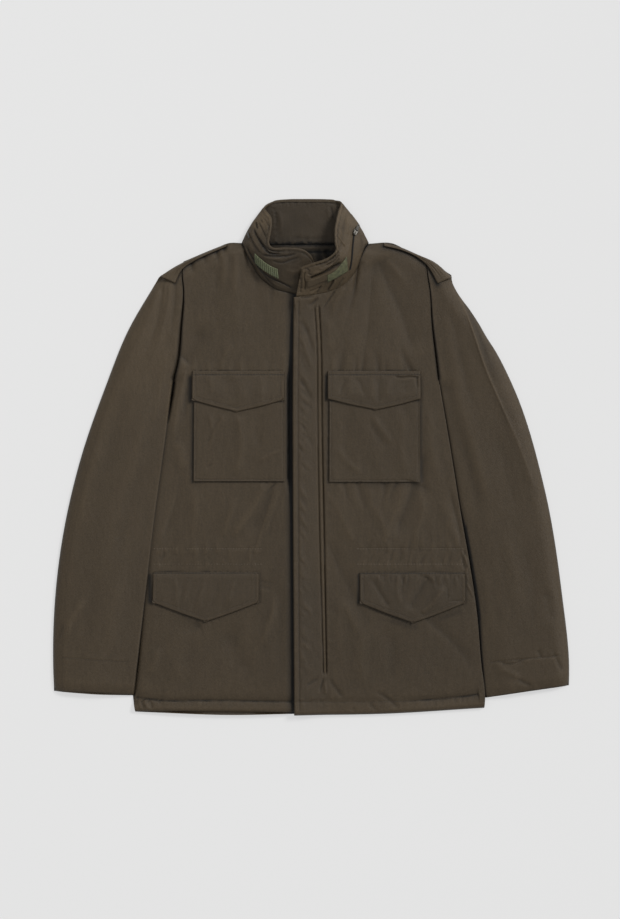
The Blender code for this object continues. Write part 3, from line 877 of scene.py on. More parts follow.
def flat_cut(face: Array) -> tuple[float, float, float]:
    """Measures the flat cloth that a grid of points stands for.

    Args:
        face: the points, in millimetres.

    Returns:
        The cut's width and length in metres and its area in square metres.
    """
    one, other = face[1:, 1:] - face[:-1, :-1], face[:-1, 1:] - face[1:, :-1]
    area = float(np.linalg.norm(np.cross(one, other), axis=-1).sum() / 2 * MM * MM)
    across = np.linalg.norm(np.diff(face, axis=0), axis=-1).sum(axis=0).max() * MM
    along = np.linalg.norm(np.diff(face, axis=1), axis=-1).sum(axis=1).max() * MM
    return max(float(across), 0.0102), max(float(along), 0.0102), min(area, float(across * along))


@dataclass
class Jacket:
    """What all sub-assemblies share: the materials and the way a piece joins the object."""

    wardrobe: Wardrobe

    def adopt(self, piece: bpy.types.Object, finish: Finish, nodes: Sequence[str]) -> None:
        """Makes a piece part of the jacket.

        Args:
            piece: the finished object.
            finish: not used.
            nodes: the solids that it stands for.
        """
        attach(piece, "root")
        if nodes:
            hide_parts(*nodes)
        faces = sum(len(polygon.vertices) - 2 for polygon in piece.data.polygons)
        LOG.info("%s: %d triangles", piece.name, faces)

    def sew(
        self,
        name: str,
        lines: Sequence[Line],
        thread: bpy.types.Material | None = None,
        sizes: "RowSizes | None" = None,
    ) -> bpy.types.Object:
        """Sews rows of stitches.

        Args:
            name: the stitches' name.
            lines: the line of each row.
            thread: the thread's material, where it isn't the cloth's own brown.
            sizes: the stitches' sizes, where they aren't the usual ones.

        Returns:
            The stitches as one object.
        """
        thread = thread or self.wardrobe.thread
        threads = self.wardrobe.stitch_row.run(name, lines, sizes or STITCH, thread)
        self.adopt(threads, Finish.SHELL, [])
        return threads

    def lay(
        self,
        node: str,
        face: Array,
        wall: float,
        rests_on: Sequence[str],
        painted_shading: Array | None = None,
        piece: bpy.types.Object | None = None,
        material: bpy.types.Material | None = None,
        finish: Finish = Finish.SHELL,
        with_pieces: Sequence[bpy.types.Object] = (),
    ) -> None:
        """Lays a cloth piece that stands for a solid.

        Args:
            node: the solid's name.
            face: the outer points, in millimetres.
            wall: how thick the cloth is.
            rests_on: not used.
            painted_shading: the painted shade at each point, over what is painted for its own hollows; below
                zero it is painted light.
            piece: a ready piece, where it isn't a plain shell.
            material: the cloth's material, where it isn't the shell cloth's own.
            finish: which of the jacket's finishes it has.
            with_pieces: not used.
        """
        if piece is None:
            piece = shell(f"{node}_cloth", face, wall, material or self.wardrobe.cloth[Finish.SHELL], painted_shading)
        self.adopt(piece, finish, [node])
        width, length, area = flat_cut(face)


# ---- rows of small things --------------------------------------------------------------------


class RowTree:
    """A Geometry Nodes tree that sets a small shape along a line, as stitches, ribs or zip teeth."""

    def __init__(self, name: str, shape: "Callable[[RowTree], bpy.types.NodeSocket]") -> None:
        """Builds the tree.

        Args:
            name: the tree's name.
            shape: adds the nodes of the small shape and returns its geometry.
        """
        self.tree = bpy.data.node_groups.new(name, "GeometryNodeTree")
        face = self.tree.interface
        face.new_socket("Geometry", in_out="INPUT", socket_type="NodeSocketGeometry")
        self.sockets: dict[str, str] = {}
        for label, default in (("Pitch", 0.003), ("Length", 0.0024), ("Width", 0.0005), ("Height", 0.0005)):
            made = face.new_socket(label, in_out="INPUT", socket_type="NodeSocketFloat")
            made.default_value = default
            self.sockets[label] = made.identifier
        for label, kind in (("Seed", "NodeSocketInt"), ("Finish", "NodeSocketMaterial")):
            self.sockets[label] = face.new_socket(label, in_out="INPUT", socket_type=kind).identifier
        face.new_socket("Geometry", in_out="OUTPUT", socket_type="NodeSocketGeometry")
        self.given = self.add("NodeGroupInput", {}, {})
        self._lay_out(shape)

    def add(self, kind: str, settings: dict[str, object], inputs: dict[int | str, Value]) -> bpy.types.Node:
        """Returns a new node with these settings and inputs."""
        return add_node(self.tree, kind, settings, inputs)

    def _lay_out(self, shape: "Callable[[RowTree], bpy.types.NodeSocket]") -> None:
        """Adds the nodes: line, even points, the shape on each, one mesh, its material.

        Args:
            shape: adds the nodes of the small shape and returns its geometry.
        """
        given = self.given.outputs
        line = self.add("GeometryNodeMeshToCurve", {}, {0: given["Geometry"]})
        pitch = {0: line.outputs[0], "Length": given["Pitch"]}
        even = self.add("GeometryNodeResampleCurve", {"mode": "LENGTH"}, pitch)
        normal = self.add("GeometryNodeInputNamedAttribute", {"data_type": "FLOAT_VECTOR"}, {"Name": "out"})
        tangent = self.add("GeometryNodeInputTangent", {}, {})
        first = self.add("FunctionNodeAlignRotationToVector", {"axis": "Z"}, {"Vector": normal.outputs[0]})
        second = self.add(
            "FunctionNodeAlignRotationToVector",
            {"axis": "X", "pivot_axis": "Z"},
            {"Rotation": first.outputs[0], "Vector": tangent.outputs[0]},
        )
        wander = self.add(
            "FunctionNodeRandomValue",
            {"data_type": "FLOAT_VECTOR"},
            {0: (0.86, 0.85, 0.85), 1: (1.08, 1.15, 1.15), "Seed": given["Seed"]},
        )
        points = self.add(
            "GeometryNodeInstanceOnPoints",
            {},
            {
                "Points": even.outputs[0],
                "Instance": shape(self),
                "Rotation": second.outputs[0],
                "Scale": wander.outputs[0],
            },
        )
        real = self.add("GeometryNodeRealizeInstances", {}, {0: points.outputs[0]})
        dressed = self.add("GeometryNodeSetMaterial", {}, {0: real.outputs[0], "Material": given["Finish"]})
        smooth = self.add("GeometryNodeSetShadeSmooth", {}, {0: dressed.outputs[0]})
        self.add("NodeGroupOutput", {}, {0: smooth.outputs[0]})

    def size(self) -> bpy.types.NodeSocket:
        """Returns the shape's three sizes as one vector."""
        parts = {k: self.given.outputs[label] for k, label in enumerate(("Length", "Width", "Height"))}
        return self.add("ShaderNodeCombineXYZ", {}, parts).outputs[0]

    def run(
        self,
        name: str,
        lines: Sequence[Line],
        sizes: "RowSizes",
        material: bpy.types.Material,
    ) -> bpy.types.Object:
        """Sets the shape along lines and turns the result into a plain mesh.

        Args:
            name: the new object's name.
            lines: for each line its points and its directions out of the cloth.
            sizes: the spacing and the shape's size.
            material: the shape's material.

        Returns:
            The new object.
        """
        points, edges, ways = [], [], []
        for line, out in lines:
            first = len(points)
            points += (line * MM).tolist()
            ways += out.tolist()
            edges += [(first + k, first + k + 1) for k in range(len(line) - 1)]
        guide = bpy.data.meshes.new(f"{name}_guide")
        guide.from_pydata(points, edges, [])
        outwards = guide.attributes.new("out", "FLOAT_VECTOR", "POINT")
        outwards.data.foreach_set("vector", np.array(ways, np.float32).ravel())
        holder = bpy.data.objects.new(f"{name}_guide", guide)
        bpy.context.scene.collection.objects.link(holder)
        modifier = holder.modifiers.new("row", "NODES")
        modifier.node_group = self.tree
        for label, value in sizes.named().items():
            modifier[self.sockets[label]] = value
        modifier[self.sockets["Finish"]] = material
        graph = bpy.context.evaluated_depsgraph_get()
        mesh = bpy.data.meshes.new_from_object(holder.evaluated_get(graph))
        mesh.name = name
        bpy.data.objects.remove(holder)
        return link(name, mesh, material)


@dataclass(frozen=True)
class RowSizes:
    """Spacing and size of the small shapes in a row, in millimetres."""

    pitch: float
    length: float
    width: float
    height: float
    seed: int = 1

    def named(self) -> dict[str, float]:
        """Returns the sizes in metres by the tree's input names."""
        sizes = {"Pitch": self.pitch, "Length": self.length, "Width": self.width, "Height": self.height}
        return {**{key: value * MM for key, value in sizes.items()}, "Seed": self.seed}


STITCH = RowSizes(3.1, 2.4, 0.55, 0.5)
TOP_STITCH = RowSizes(4.2, 2.8, 1.3, 0.5, 2)  # the bolder stitches along a flap's top


def follow(path: Points, height: HeightMap, step: float = 0.8) -> Line:
    """Lays a path on a cloth.

    Args:
        path: the path, seen from above.
        height: the cloth's height.
        step: how far to each side its slope is measured.

    Returns:
        The path just off the cloth, and the ways out of the cloth along it.
    """
    track = Track(path)
    flat = track.at(np.linspace(0, 1, max(3, int(track.length / 1.5))))
    x, y = flat.T
    falls = [height(x - step, y) - height(x + step, y), height(x, y - step) - height(x, y + step)]
    out = raised(np.stack(falls, axis=1) / (2 * step), np.ones(len(x)))
    out /= np.linalg.norm(out, axis=1, keepdims=True)
    return raised(flat, height(x, y) + 0.12), out


def thread_shape(row: RowTree) -> bpy.types.NodeSocket:
    """Returns one stitch: a short round-ended thread."""
    ball = row.add("GeometryNodeMeshUVSphere", {}, {"Segments": 6, "Rings": 4, "Radius": 0.5})
    return row.add("GeometryNodeTransform", {}, {0: ball.outputs[0], "Scale": row.size()}).outputs[0]


def block_shape(row: RowTree) -> bpy.types.NodeSocket:
    """Returns one rib or tooth: a small block."""
    return row.add("GeometryNodeMeshCube", {}, {"Size": row.size()}).outputs[0]


# ---- sides, body and sleeves -----------------------------------------------------------------


@dataclass(frozen=True)
class Side:
    """The lines that bound one half of the jacket, from the neck down."""

    word: str
    shoulder: Points
    armhole: Points
    underarm: Points
    flank: Points
    hem_corner: Spot
    hem_middle: Spot
    sleeve_inner: Points
    sleeve_outer: Points
    neck: Points
    centre: Points
    fold: Points  # the epaulette's edge on the shoulder
    lap: Points  # the epaulette's lower edge

    def shoulder_end(self) -> list[tuple[float, ...]]:
        """Returns the shoulder's line over the sleeve head."""
        return [self.shoulder[-1], self.sleeve_outer[0]]


RIGHT = Side(
    word="right",
    shoulder=((-109, 342), (-131, 342), (-150, 335), (-204, 312.5)),
    armhole=((-204, 312.5), (-206, 297), (-203.5, 265), (-207.5, 208), (-213, 151), (-220, 124.5)),
    underarm=((-220, 124.5), (-238, 98), (-279, 88)),
    flank=((-279, 88), (-276, -140), (-279.5, -330), (-285, -378), (-283.5, -392)),
    hem_corner=(-281, -407),
    hem_middle=(-140, -411.5),
    sleeve_inner=((-220, 124.5), (-235, 9), (-250, -99), (-264, -219), (-283, -381)),
    sleeve_outer=(
        (-243, 287.5), (-295, 197), (-327, 117), (-370, -8), (-401, -151), (-412.5, -334),
        (-411, -374),
    ),
    neck=(
        (5, 257), (-16, 257.6), (-29, 261), (-54.5, 268.4), (-79, 286), (-94.5, 309.4), (-105.6, 331),
        (-109, 342),
    ),
    centre=((5, -410), (5, 257)),
    fold=((-134, 341), (-163, 329.2), (-190, 318), (-215, 305.5), (-242, 288.5)),
    lap=((-136, 335.5), (-161, 325), (-185, 313.5), (-206, 299), (-217, 277)),
)
LEFT = Side(
    word="left",
    shoulder=((91, 341), (130, 341.5), (156, 329), (184, 318)),
    armhole=((184, 318), (185.5, 297), (190.5, 265), (193.5, 216), (200, 159), (204, 124.5)),
    underarm=((204, 124.5), (226, 98), (277, 90)),
    flank=((277, 90), (274, -140), (277, -380)),
    hem_corner=(277, -401),
    hem_middle=(120, -410.5),
    sleeve_inner=(
        (204, 124.5), (224.5, 3), (239, -88), (253, -168), (264.5, -243), (272, -330), (278, -386),
    ),
    sleeve_outer=(
        (224.5, 291), (225.6, 281), (230.2, 270), (235, 261.5), (254, 235.4), (268.3, 213.6),
        (281.4, 190.8), (292.8, 173.2), (321.5, 117), (373, -48), (401.5, -219), (413, -347),
        (412.5, -365),
    ),
    neck=(
        (-28, 254.5), (7, 259.6), (24, 263.6), (43.4, 270.4), (58, 280.6), (69.6, 293), (80.4, 319.6),
        (91, 341),
    ),
    centre=((-27, -413), (-29, -100), (-29.5, 100), (-28, 254.5)),
    fold=((117, 342), (145, 334.6), (170, 323.8), (197, 311.5), (225.5, 287)),
    lap=((117, 336.5), (145, 330), (167.5, 320), (184, 307), (202, 276.5)),
)

NECK_BACK: Points = ((-111, 342), (-60, 343.4), (0, 343), (50, 343.4), (93, 341))
WELT_LEFT: Points = ((20.0, -349), (13.6, -117), (10.6, 60), (9.5, 180), (5.6, 243))
WELT_RIGHT: Points = ((24.6, -349), (20.6, -117), (17.4, 60), (16.0, 180), (12.5, 243))
CHANNEL_Y = (-146.5, -171.0)  # the two stitch lines of the waist channel

RIGHT_FRONT = Relief(
    # short tucks under the hem's stitches
    Fold(((-272, -391.5), (-264, -386.5)), -0.9, 1.6),
    Fold(((-265, -393.5), (-256, -387.5)), -1.0, 1.7),
    Fold(((-245, -393), (-237, -387.5)), -0.9, 1.6),
    Crumple(0.24, 70, 26, 96, 3),
    Crumple(0.08, 26, 12, 70, 4),
    # under the epaulette and from the neck
    Fold(((-152, 331), (-147, 310)), -1.5, 4.0, fade=(0.05, 0.7)),
    Fold(((-139.5, 338), (-138, 322)), -1.4, 3.4, fade=(0.05, 0.7)),
    Fold(((-172, 322), (-166, 304)), -0.9, 4.0, fade=(0.05, 0.7)),
    Fold(((-192.6, 311), (-186, 290)), -1.5, 4.6, fade=(0.05, 0.7)),
    Fold(((-104.6, 331), (-97.5, 297)), -1.8, 4.2, fade=(0.1, 0.6)),
    Fold(((-90, 300), (-84, 262)), -0.8, 6.0, fade=(0.1, 0.7)),
    Fold(((-62, 272), (-66, 240)), -0.7, 6.0, fade=(0.1, 0.7)),
    Fold(((-150.7, 307), (-152, 262)), -0.35, 7.0),
    Fold(((-128, 320), (-120, 250), (-124, 190)), 0.7, 14.0),
    Fold(((-206, 150), (-194, 164), (-181, 188), (-174, 220)), -1.7, 14.0, fade=(0.1, 0.4)),
    Fold(((-140, 326), (-139, 296), (-142, 262)), 0.7, 5.0, fade=(0.1, 0.6)),
    Fold(((-122, 330), (-120, 290), (-124, 250)), 0.7, 6.0, fade=(0.1, 0.6)),
    Fold(((-124, 186), (-138, 160), (-144, 134)), 0.5, 5.0, sharp=1.4, fade=(0.3, 0.1)),
    Fold(((-86, 262), (-80, 200), (-84, 160)), -0.3, 16.0),
    # gathers over the chest flap
    Puckers(((-188, 132), (-44, 132)), 17.0, 36.0, 0.8, 4.6, 0.0, 11),
    # beside the pocket
    Fold(((-199, 142), (-208, 106), (-217, 58), (-222, 8)), 1.3, 7.0, sharp=1.3, fade=(0.1, 0.4)),
    Fold(((-195, 136), (-199, 100), (-203, 56)), -0.9, 4.6, fade=(0.1, 0.5)),
    Fold(((-214, 30), (-208, 0), (-206, -24)), 0.7, 8.0),
    # below the pocket
    Fold(
        ((-202, -10), (-207, -32), (-216, -69), (-225, -100), (-237, -140)),
        -1.3, 11.0, sharp=1.25, fade=(0.5, 0.3),
    ),
    Fold(
        ((-206.5, -35), (-218.5, -69), (-237.7, -117), (-245, -145)),
        0.7, 8.0, sharp=1.3, fade=(0.3, 0.2),
    ),
    Fold(((-187, -42), (-184.9, -93), (-192, -132)), 0.7, 9.0, left=0.75, sharp=1.3),
    Fold(((-117.7, -56), (-129.7, -93), (-141.7, -131)), 0.6, 7.0, left=0.7, sharp=1.3, fade=(0.3, 0.2)),
    Fold(
        ((-72, -40), (-92, -80), (-110, -106), (-128, -130)),
        1.2, 8.0, left=0.6, sharp=1.25, fade=(0.1, 0.2),
    ),
    Fold(((-56, -40), (-76, -85), (-100, -126)), -0.7, 9.0, sharp=1.3, fade=(0.3, 0.25)),
    Fold(((-53, -42), (-67, -86), (-81.6, -129), (-86, -147)), 0.7, 1.9, fade=(0.2, 0.1)),
    Fold(((-48, -44), (-62, -86), (-76.4, -129)), 0.6, 1.9, fade=(0.2, 0.2)),
    Fold(((-57, -41), (-66, -52), (-76, -62)), -0.9, 1.5, fade=(0.0, 0.7)),
    # round the waist channel
    Puckers(((-250, CHANNEL_Y[0] - 8), (-79, CHANNEL_Y[0] - 8)), 19.0, 34.0, 0.5, 3.6, 8.0, 12),
    Puckers(((-79, CHANNEL_Y[0] + 3), (-250, CHANNEL_Y[0] + 3)), 15.0, 30.0, 0.5, 2.6, 0.0, 13),
    Puckers(((-79, CHANNEL_Y[1] + 4), (-250, CHANNEL_Y[1] + 4)), 16.0, 18.0, 0.5, 2.8, 0.0, 14),
    Fold(((-232, -149), (-240, -166)), -0.6, 3.0),
    Fold(((-84, -196), (-70, -201), (-56, -203)), -0.5, 2.6),
    Fold(((-84, -203), (-72, -208), (-60, -212)), -0.5, 2.4),
    Fold(((-92, -141), (-98, -152), (-94, -172)), 0.5, 2.2),
    # skirt
    Fold(((-61, -214), (-60, -237), (-70, -273), (-84, -306)), 0.9, 4.5, left=1.8, sharp=1.3),
    Fold(((-176, -266), (-190, -274), (-200, -286)), -0.8, 9.0, fade=(0.1, 0.8)),
    Fold(((-242, -300), (-250, -328), (-259, -352)), 1.0, 7.0),
    Fold(((-150, -268), (-120, -310), (-96, -360)), -0.7, 14.0),
    Fold(((-200, -262), (-214, -310), (-206, -372)), 0.7, 15.0),
    Fold(((-48, -200), (-50, -280), (-46, -360)), -0.5, 9.0),
    # hem
    Puckers(((-262, -385), (-40, -388.5)), 21.0, 16.0, 0.4, 6.0, 0.0, 15),
    Puckers(((-40, -390), (-262, -386)), 12.0, 17.0, 0.45, 4.0, 0.0, 16),
    Fold(((-272, -388), (-266, -404)), -0.9, 2.4),
    Fold(((-265, -388), (-260, -406)), 0.8, 2.6),
    Fold(((-257, -389), (-253, -404)), -0.8, 2.4),
    strength=1.45,
)

LEFT_FRONT = Relief(
    Crumple(0.24, 70, 26, 84, 5),
    Crumple(0.09, 26, 12, 110, 6),
    # fan from the neck
    Fold(((80, 314), (76, 300), (70.6, 274), (62, 237), (54, 205)), -1.4, 5.0, fade=(0.05, 0.6)),
    Fold(((74.6, 307), (72.6, 291), (70.4, 275), (66, 250)), -2.2, 2.4, fade=(0.0, 0.7)),
    Fold(((102, 318), (97, 280), (93, 225), (86, 160)), -1.5, 15.0, left=0.6, sharp=1.25, fade=(0.15, 0.3)),
    Fold(
        ((104, 322), (114, 295), (139, 241), (166, 160)),
        -2.2, 14.0, left=1.7, sharp=1.2, fade=(0.1, 0.2),
    ),
    Fold(((120, 316), (140, 292), (158, 262)), 0.8, 6.0, fade=(0.1, 0.6)),
    Fold(((38.4, 266), (28, 250), (17, 232)), -1.6, 1.3, fade=(0.1, 0.5)),
    Fold(((46, 276), (34, 258), (23, 241)), -1.2, 1.3, fade=(0.1, 0.5)),
    Fold(((42, 270), (31, 252), (21, 236)), 0.8, 1.8, fade=(0.1, 0.5)),
    Fold(((54, 272), (40, 248), (32, 218)), 0.9, 5.0, fade=(0.1, 0.5)),
    Fold(((24, 232), (30, 200), (26, 160)), 0.7, 9.0),
    # gathers over the chest flap
    Fold(((45, 131), (50, 160), (57, 198)), -1.2, 6.0, fade=(0.0, 0.8)),
    Fold(((71, 131), (72, 148), (72, 166)), -0.8, 3.0, fade=(0.0, 0.8)),
    Fold(((81, 131), (84, 155), (87, 184)), -1.2, 4.6, fade=(0.0, 0.8)),
    Fold(((109, 131), (107, 152), (103, 176)), -1.2, 4.6, fade=(0.0, 0.8)),
    Fold(((121, 131), (119, 146), (118, 162)), -0.8, 3.4, fade=(0.0, 0.8)),
    Fold(((163, 131), (152, 152), (138, 184)), -1.4, 4.6, fade=(0.0, 0.8)),
    Fold(((150, 131), (149, 144), (146, 158)), -0.8, 3.0, fade=(0.0, 0.8)),
    Fold(((34, 131), (36, 150), (40, 172)), 0.9, 4.0, fade=(0.0, 0.8)),
    # folds under the pocket, down to the waist
    Fold(((30, -58), (51, -100), (72, -146)), 0.8, 9.0, sharp=1.3),
    Fold(((91, -42), (99, -77), (114, -105), (122, -138)), 0.6, 6.0, sharp=1.5, fade=(0.15, 0.3)),
    Fold(
        ((152, -36), (138, -80), (123, -118), (112, -150)),
        0.8, 9.0, left=0.9, sharp=1.4, fade=(0.1, 0.15),
    ),
    Fold(((167, -38), (150, -86), (134, -130)), -1.8, 10.0, left=1.5, sharp=1.2, fade=(0.05, 0.3)),
    Fold(((172, -46), (178, -87), (168, -123), (162, -148)), 0.7, 5.5, sharp=1.4),
    Fold(((118, -40), (116, -62), (110, -84)), -0.9, 5.0, fade=(0.0, 0.8)),
    Fold(((74, -40), (80, -64), (92, -96)), -0.9, 5.0, fade=(0.0, 0.8)),
    Fold(((138, -40), (128, -60), (122, -78)), -0.8, 3.6, fade=(0.0, 0.8)),
    Fold(((52, -40), (58, -60), (60, -84)), -0.7, 4.0, fade=(0.0, 0.8)),
    Fold(((180, 14), (178, -30), (186, -70)), -1.3, 6.0, fade=(0.3, 0.5)),
    Fold(((204, -60), (227, -118), (237, -146)), 0.4, 7.0),
    Fold(((217, -40), (232, -98), (241, -144)), -0.9, 4.0),
    Fold(((190, 90), (192, 20), (206, -50)), 0.8, 9.0),
    # puckered side seam beside the channel and the flap
    Fold(((240, -150), (246, -162), (250, -174)), 1.1, 1.8, fade=(0.1, 0.3)),
    Fold(((246, -150), (242, -166), (247, -182)), -0.9, 2.0, fade=(0.1, 0.3)),
    Fold(((253, -172), (248, -184), (250, -198)), 1.0, 1.8, fade=(0.1, 0.3)),
    Fold(((248, -201), (254, -212), (261, -226)), 1.0, 1.8, fade=(0.1, 0.4)),
    # round the waist channel
    Puckers(((78, CHANNEL_Y[0] - 6), (240, CHANNEL_Y[0] - 6)), 13.0, 52.0, 0.6, 3.4, 4.0, 24, (0.3, 0.7)),
    Puckers(
        ((84, CHANNEL_Y[0] - 10), (240, CHANNEL_Y[0] - 10)),
        15.0, 44.0, -0.6, 3.0, -6.0, 22, (0.3, 0.7),
    ),
    Puckers(((80, CHANNEL_Y[1] - 4), (236, CHANNEL_Y[1] - 4)), 9.0, 36.0, 0.55, 2.2, -24.0, 25, (0.3, 0.7)),
    Puckers(
        ((86, CHANNEL_Y[1] - 2), (240, CHANNEL_Y[1] - 2)),
        12.0, 34.0, -0.7, 2.0, -16.0, 23, (0.3, 0.7),
    ),
    Puckers(((242, CHANNEL_Y[1] + 6), (74, CHANNEL_Y[1] + 6)), 8.0, 24.0, 0.6, 1.8, 0.0, 26, (0.3, 0.7)),
    Fold(
        ((22, -128), (46, -179), (76, -238), (100, -280)),
        -0.9, 9.0, left=1.3, sharp=1.25, fade=(0.2, 0.3),
    ),
    Fold(((50, -220), (64, -256), (80, -290)), 0.7, 8.0),
    # skirt
    Fold(((172, -256), (186, -268), (227, -302), (264, -352)), 0.2, 3.6, sharp=1.4, fade=(0.05, 0.3)),
    Fold(
        ((182, -256), (204, -276), (236, -308), (262, -350)),
        -0.9, 7.0, left=1.7, sharp=1.25, fade=(0.05, 0.3),
    ),
    Fold(((92, -262), (80, -310), (84, -372)), 0.8, 11.0),
    Fold(((120, -266), (132, -310), (124, -370)), -0.8, 13.0),
    Fold(((248.7, -200), (263.6, -224), (269.5, -282)), -1.1, 5.5),
    Fold(((50, -214), (44, -270), (48, -330)), 0.6, 9.0),
    # fly
    Fold(((-13, 220), (-4, 192), (5, 162)), -0.9, 3.2),
    Fold(((-21, 128), (-8, 108), (5, 86)), -0.8, 3.4),
    Fold(((-20, 196), (-8, 170), (3, 138)), 0.7, 3.6),
    Fold(((-19, 60), (-6, 36), (6, 6)), -0.5, 3.6),
    Fold(((-7, 240), (2, 246), (11, 254)), -0.8, 2.6),
    Fold(((-17, 253.4), (-6, 254.6), (5, 256.6)), -1.5, 1.1, fade=(0.05, 0.2)),
    Fold(((12, 254), (4, 246), (-4, 237)), -0.9, 1.8, fade=(0.1, 0.5)),
    Puckers(((-29, 130), (-29, 240)), 11.0, 11.0, -0.8, 2.6, 90.0, 27),
    Puckers(((-29, 240), (-29, -340)), 17.0, 13.0, 0.45, 3.2, 0.0, 28),
    Puckers(((-22, 238), (-22, 20)), 10.0, 38.0, -0.8, 2.6, -52.0, 32, (0.5, 0.5)),
    Puckers(((-22, 232), (-22, -340)), 12.0, 38.0, 0.7, 2.8, -50.0, 33, (0.5, 0.5)),
    Puckers(((24, 236), (24, -330)), 15.0, 22.0, 0.4, 2.8, -30.0, 34),
    # below the strip's end
    Fold(((20, -351), (17, -364), (13, -376)), -1.1, 2.0),
    Fold(((22, -357), (23, -368), (24, -380)), 0.8, 2.2),
    Fold(((27.6, -352), (40, -370), (54.5, -388)), -1.0, 2.8),
    Fold(((13, -352), (2, -359), (-9.5, -366)), -0.9, 2.4),
    # hem
    Fold(((92, -391), (100, -400), (108.6, -410)), -0.9, 2.6),
    Fold(((98, -372), (114, -380), (144, -405)), -0.9, 3.0),
    Fold(((65, -399), (73, -410)), -0.7, 2.6),
    Puckers(((-20, -388), (262, -380)), 16.0, 17.0, 0.5, 4.4, 0.0, 29),
    Puckers(((262, -382), (190, -388)), 9.0, 17.0, -0.9, 2.4, 0.0, 30),
    Puckers(((190, -388), (-20, -390)), 14.0, 17.0, 0.5, 3.6, 0.0, 31),
    strength=1.2,
)


DARKEST = 0.93  # the share of its light that cloth loses deep in a gap

# along each armhole: heights up the jacket, half the slit's width at each and its depth
SLITS = {
    "right": (
        (90, 124, 150, 200, 240, 262, 312),
        (2.2, 4.4, 4.2, 3.2, 1.8, 1.2, 1.0),
        (8.6, 8.6, 8.6, 8.4, 8, 7, 6),
    ),
    "left": (
        (90, 124, 160, 190, 240, 262, 318),
        (2.4, 2.8, 3.0, 2.4, 1.1, 0.7, 0.7),
        (4, 5, 6, 6, 5, 4, 4),
    ),
}


def slit_size(side: Side, y: Array) -> tuple[Array, Array]:
    """Returns half the width and the depth of the slit along an armhole at each height up the jacket."""
    levels, widths, depths = SLITS[side.word]
    return np.interp(y, levels, widths), np.interp(y, levels, depths)


def lap_painted_shade(side: Side, x: Array, y: Array) -> Array:
    """Returns the painted shadow on the cloth along the epaulette's lower edge."""
    deepest, width = (0.84, 3.4) if side is RIGHT else (0.92, 5.2)
    return deepest * bell(Track(side.lap).away(x, y) / width)


# painted contact shadows where pockets and flaps touch the fronts: an edge, how dark its painted shadow is
# and how wide
CONTACT_SHADOWS: dict[str, tuple[tuple[Points, float, float], ...]] = {
    "right": (
        (((-188.6, 126), (-189.6, -39)), 0.62, 3.2),
        (((-188, -40.0), (-42, -40.0)), 0.40, 1.1),
        (((-40.4, 126), (-39.4, -39)), 0.40, 2.2),
        (((-192.8, 126), (-192.6, 90)), 0.85, 3.4),
        (((-257.6, -190), (-257.4, -231)), 0.92, 4.6),
        (((-254, -233), (-172, -263)), 0.30, 1.0),
        (((-164, -263.6), (-82, -233)), 0.20, 1.0),
        (((-206, -254), (-176, -268)), 0.16, 5.0),
        (((-81.6, -186), (-81.6, -232)), 0.45, 2.0),
        (((-190, 137.5), (-43, 137.5)), 0.55, 0.8),
        (((-252, -183.6), (-150, -183.6)), 0.60, 0.8),
        (((-160, -183.4), (-84, -183.4)), 0.35, 0.8),
    ),
    "left": (
        (((28.2, 126), (27.4, -40)), 0.5, 2.6),
        (((28, -40.6), (174, -40.6)), 0.36, 1.1),
        (((90, -44), (172, -44)), 0.20, 5.0),
        (((175, 126), (176, -40)), 0.42, 2.6),
        (((24.4, 130), (24.6, 93)), 0.85, 3.4),
        (((75.8, -188), (75.8, -232)), 0.9, 1.9),
        (((92, -240), (160, -266.4)), 0.5, 1.5),
        (((166, -265.4), (247, -235)), 0.25, 1.3),
        (((130, -262), (166, -272)), 0.35, 5.0),
        (((206, -258), (238, -246)), 0.30, 5.0),
        (((248, -186), (248, -232)), 0.35, 2.4),
        (((27, 137.6), (174, 137.6)), 0.55, 0.8),
        (((80, -184.2), (244, -184.2)), 0.42, 0.8),
    ),
}


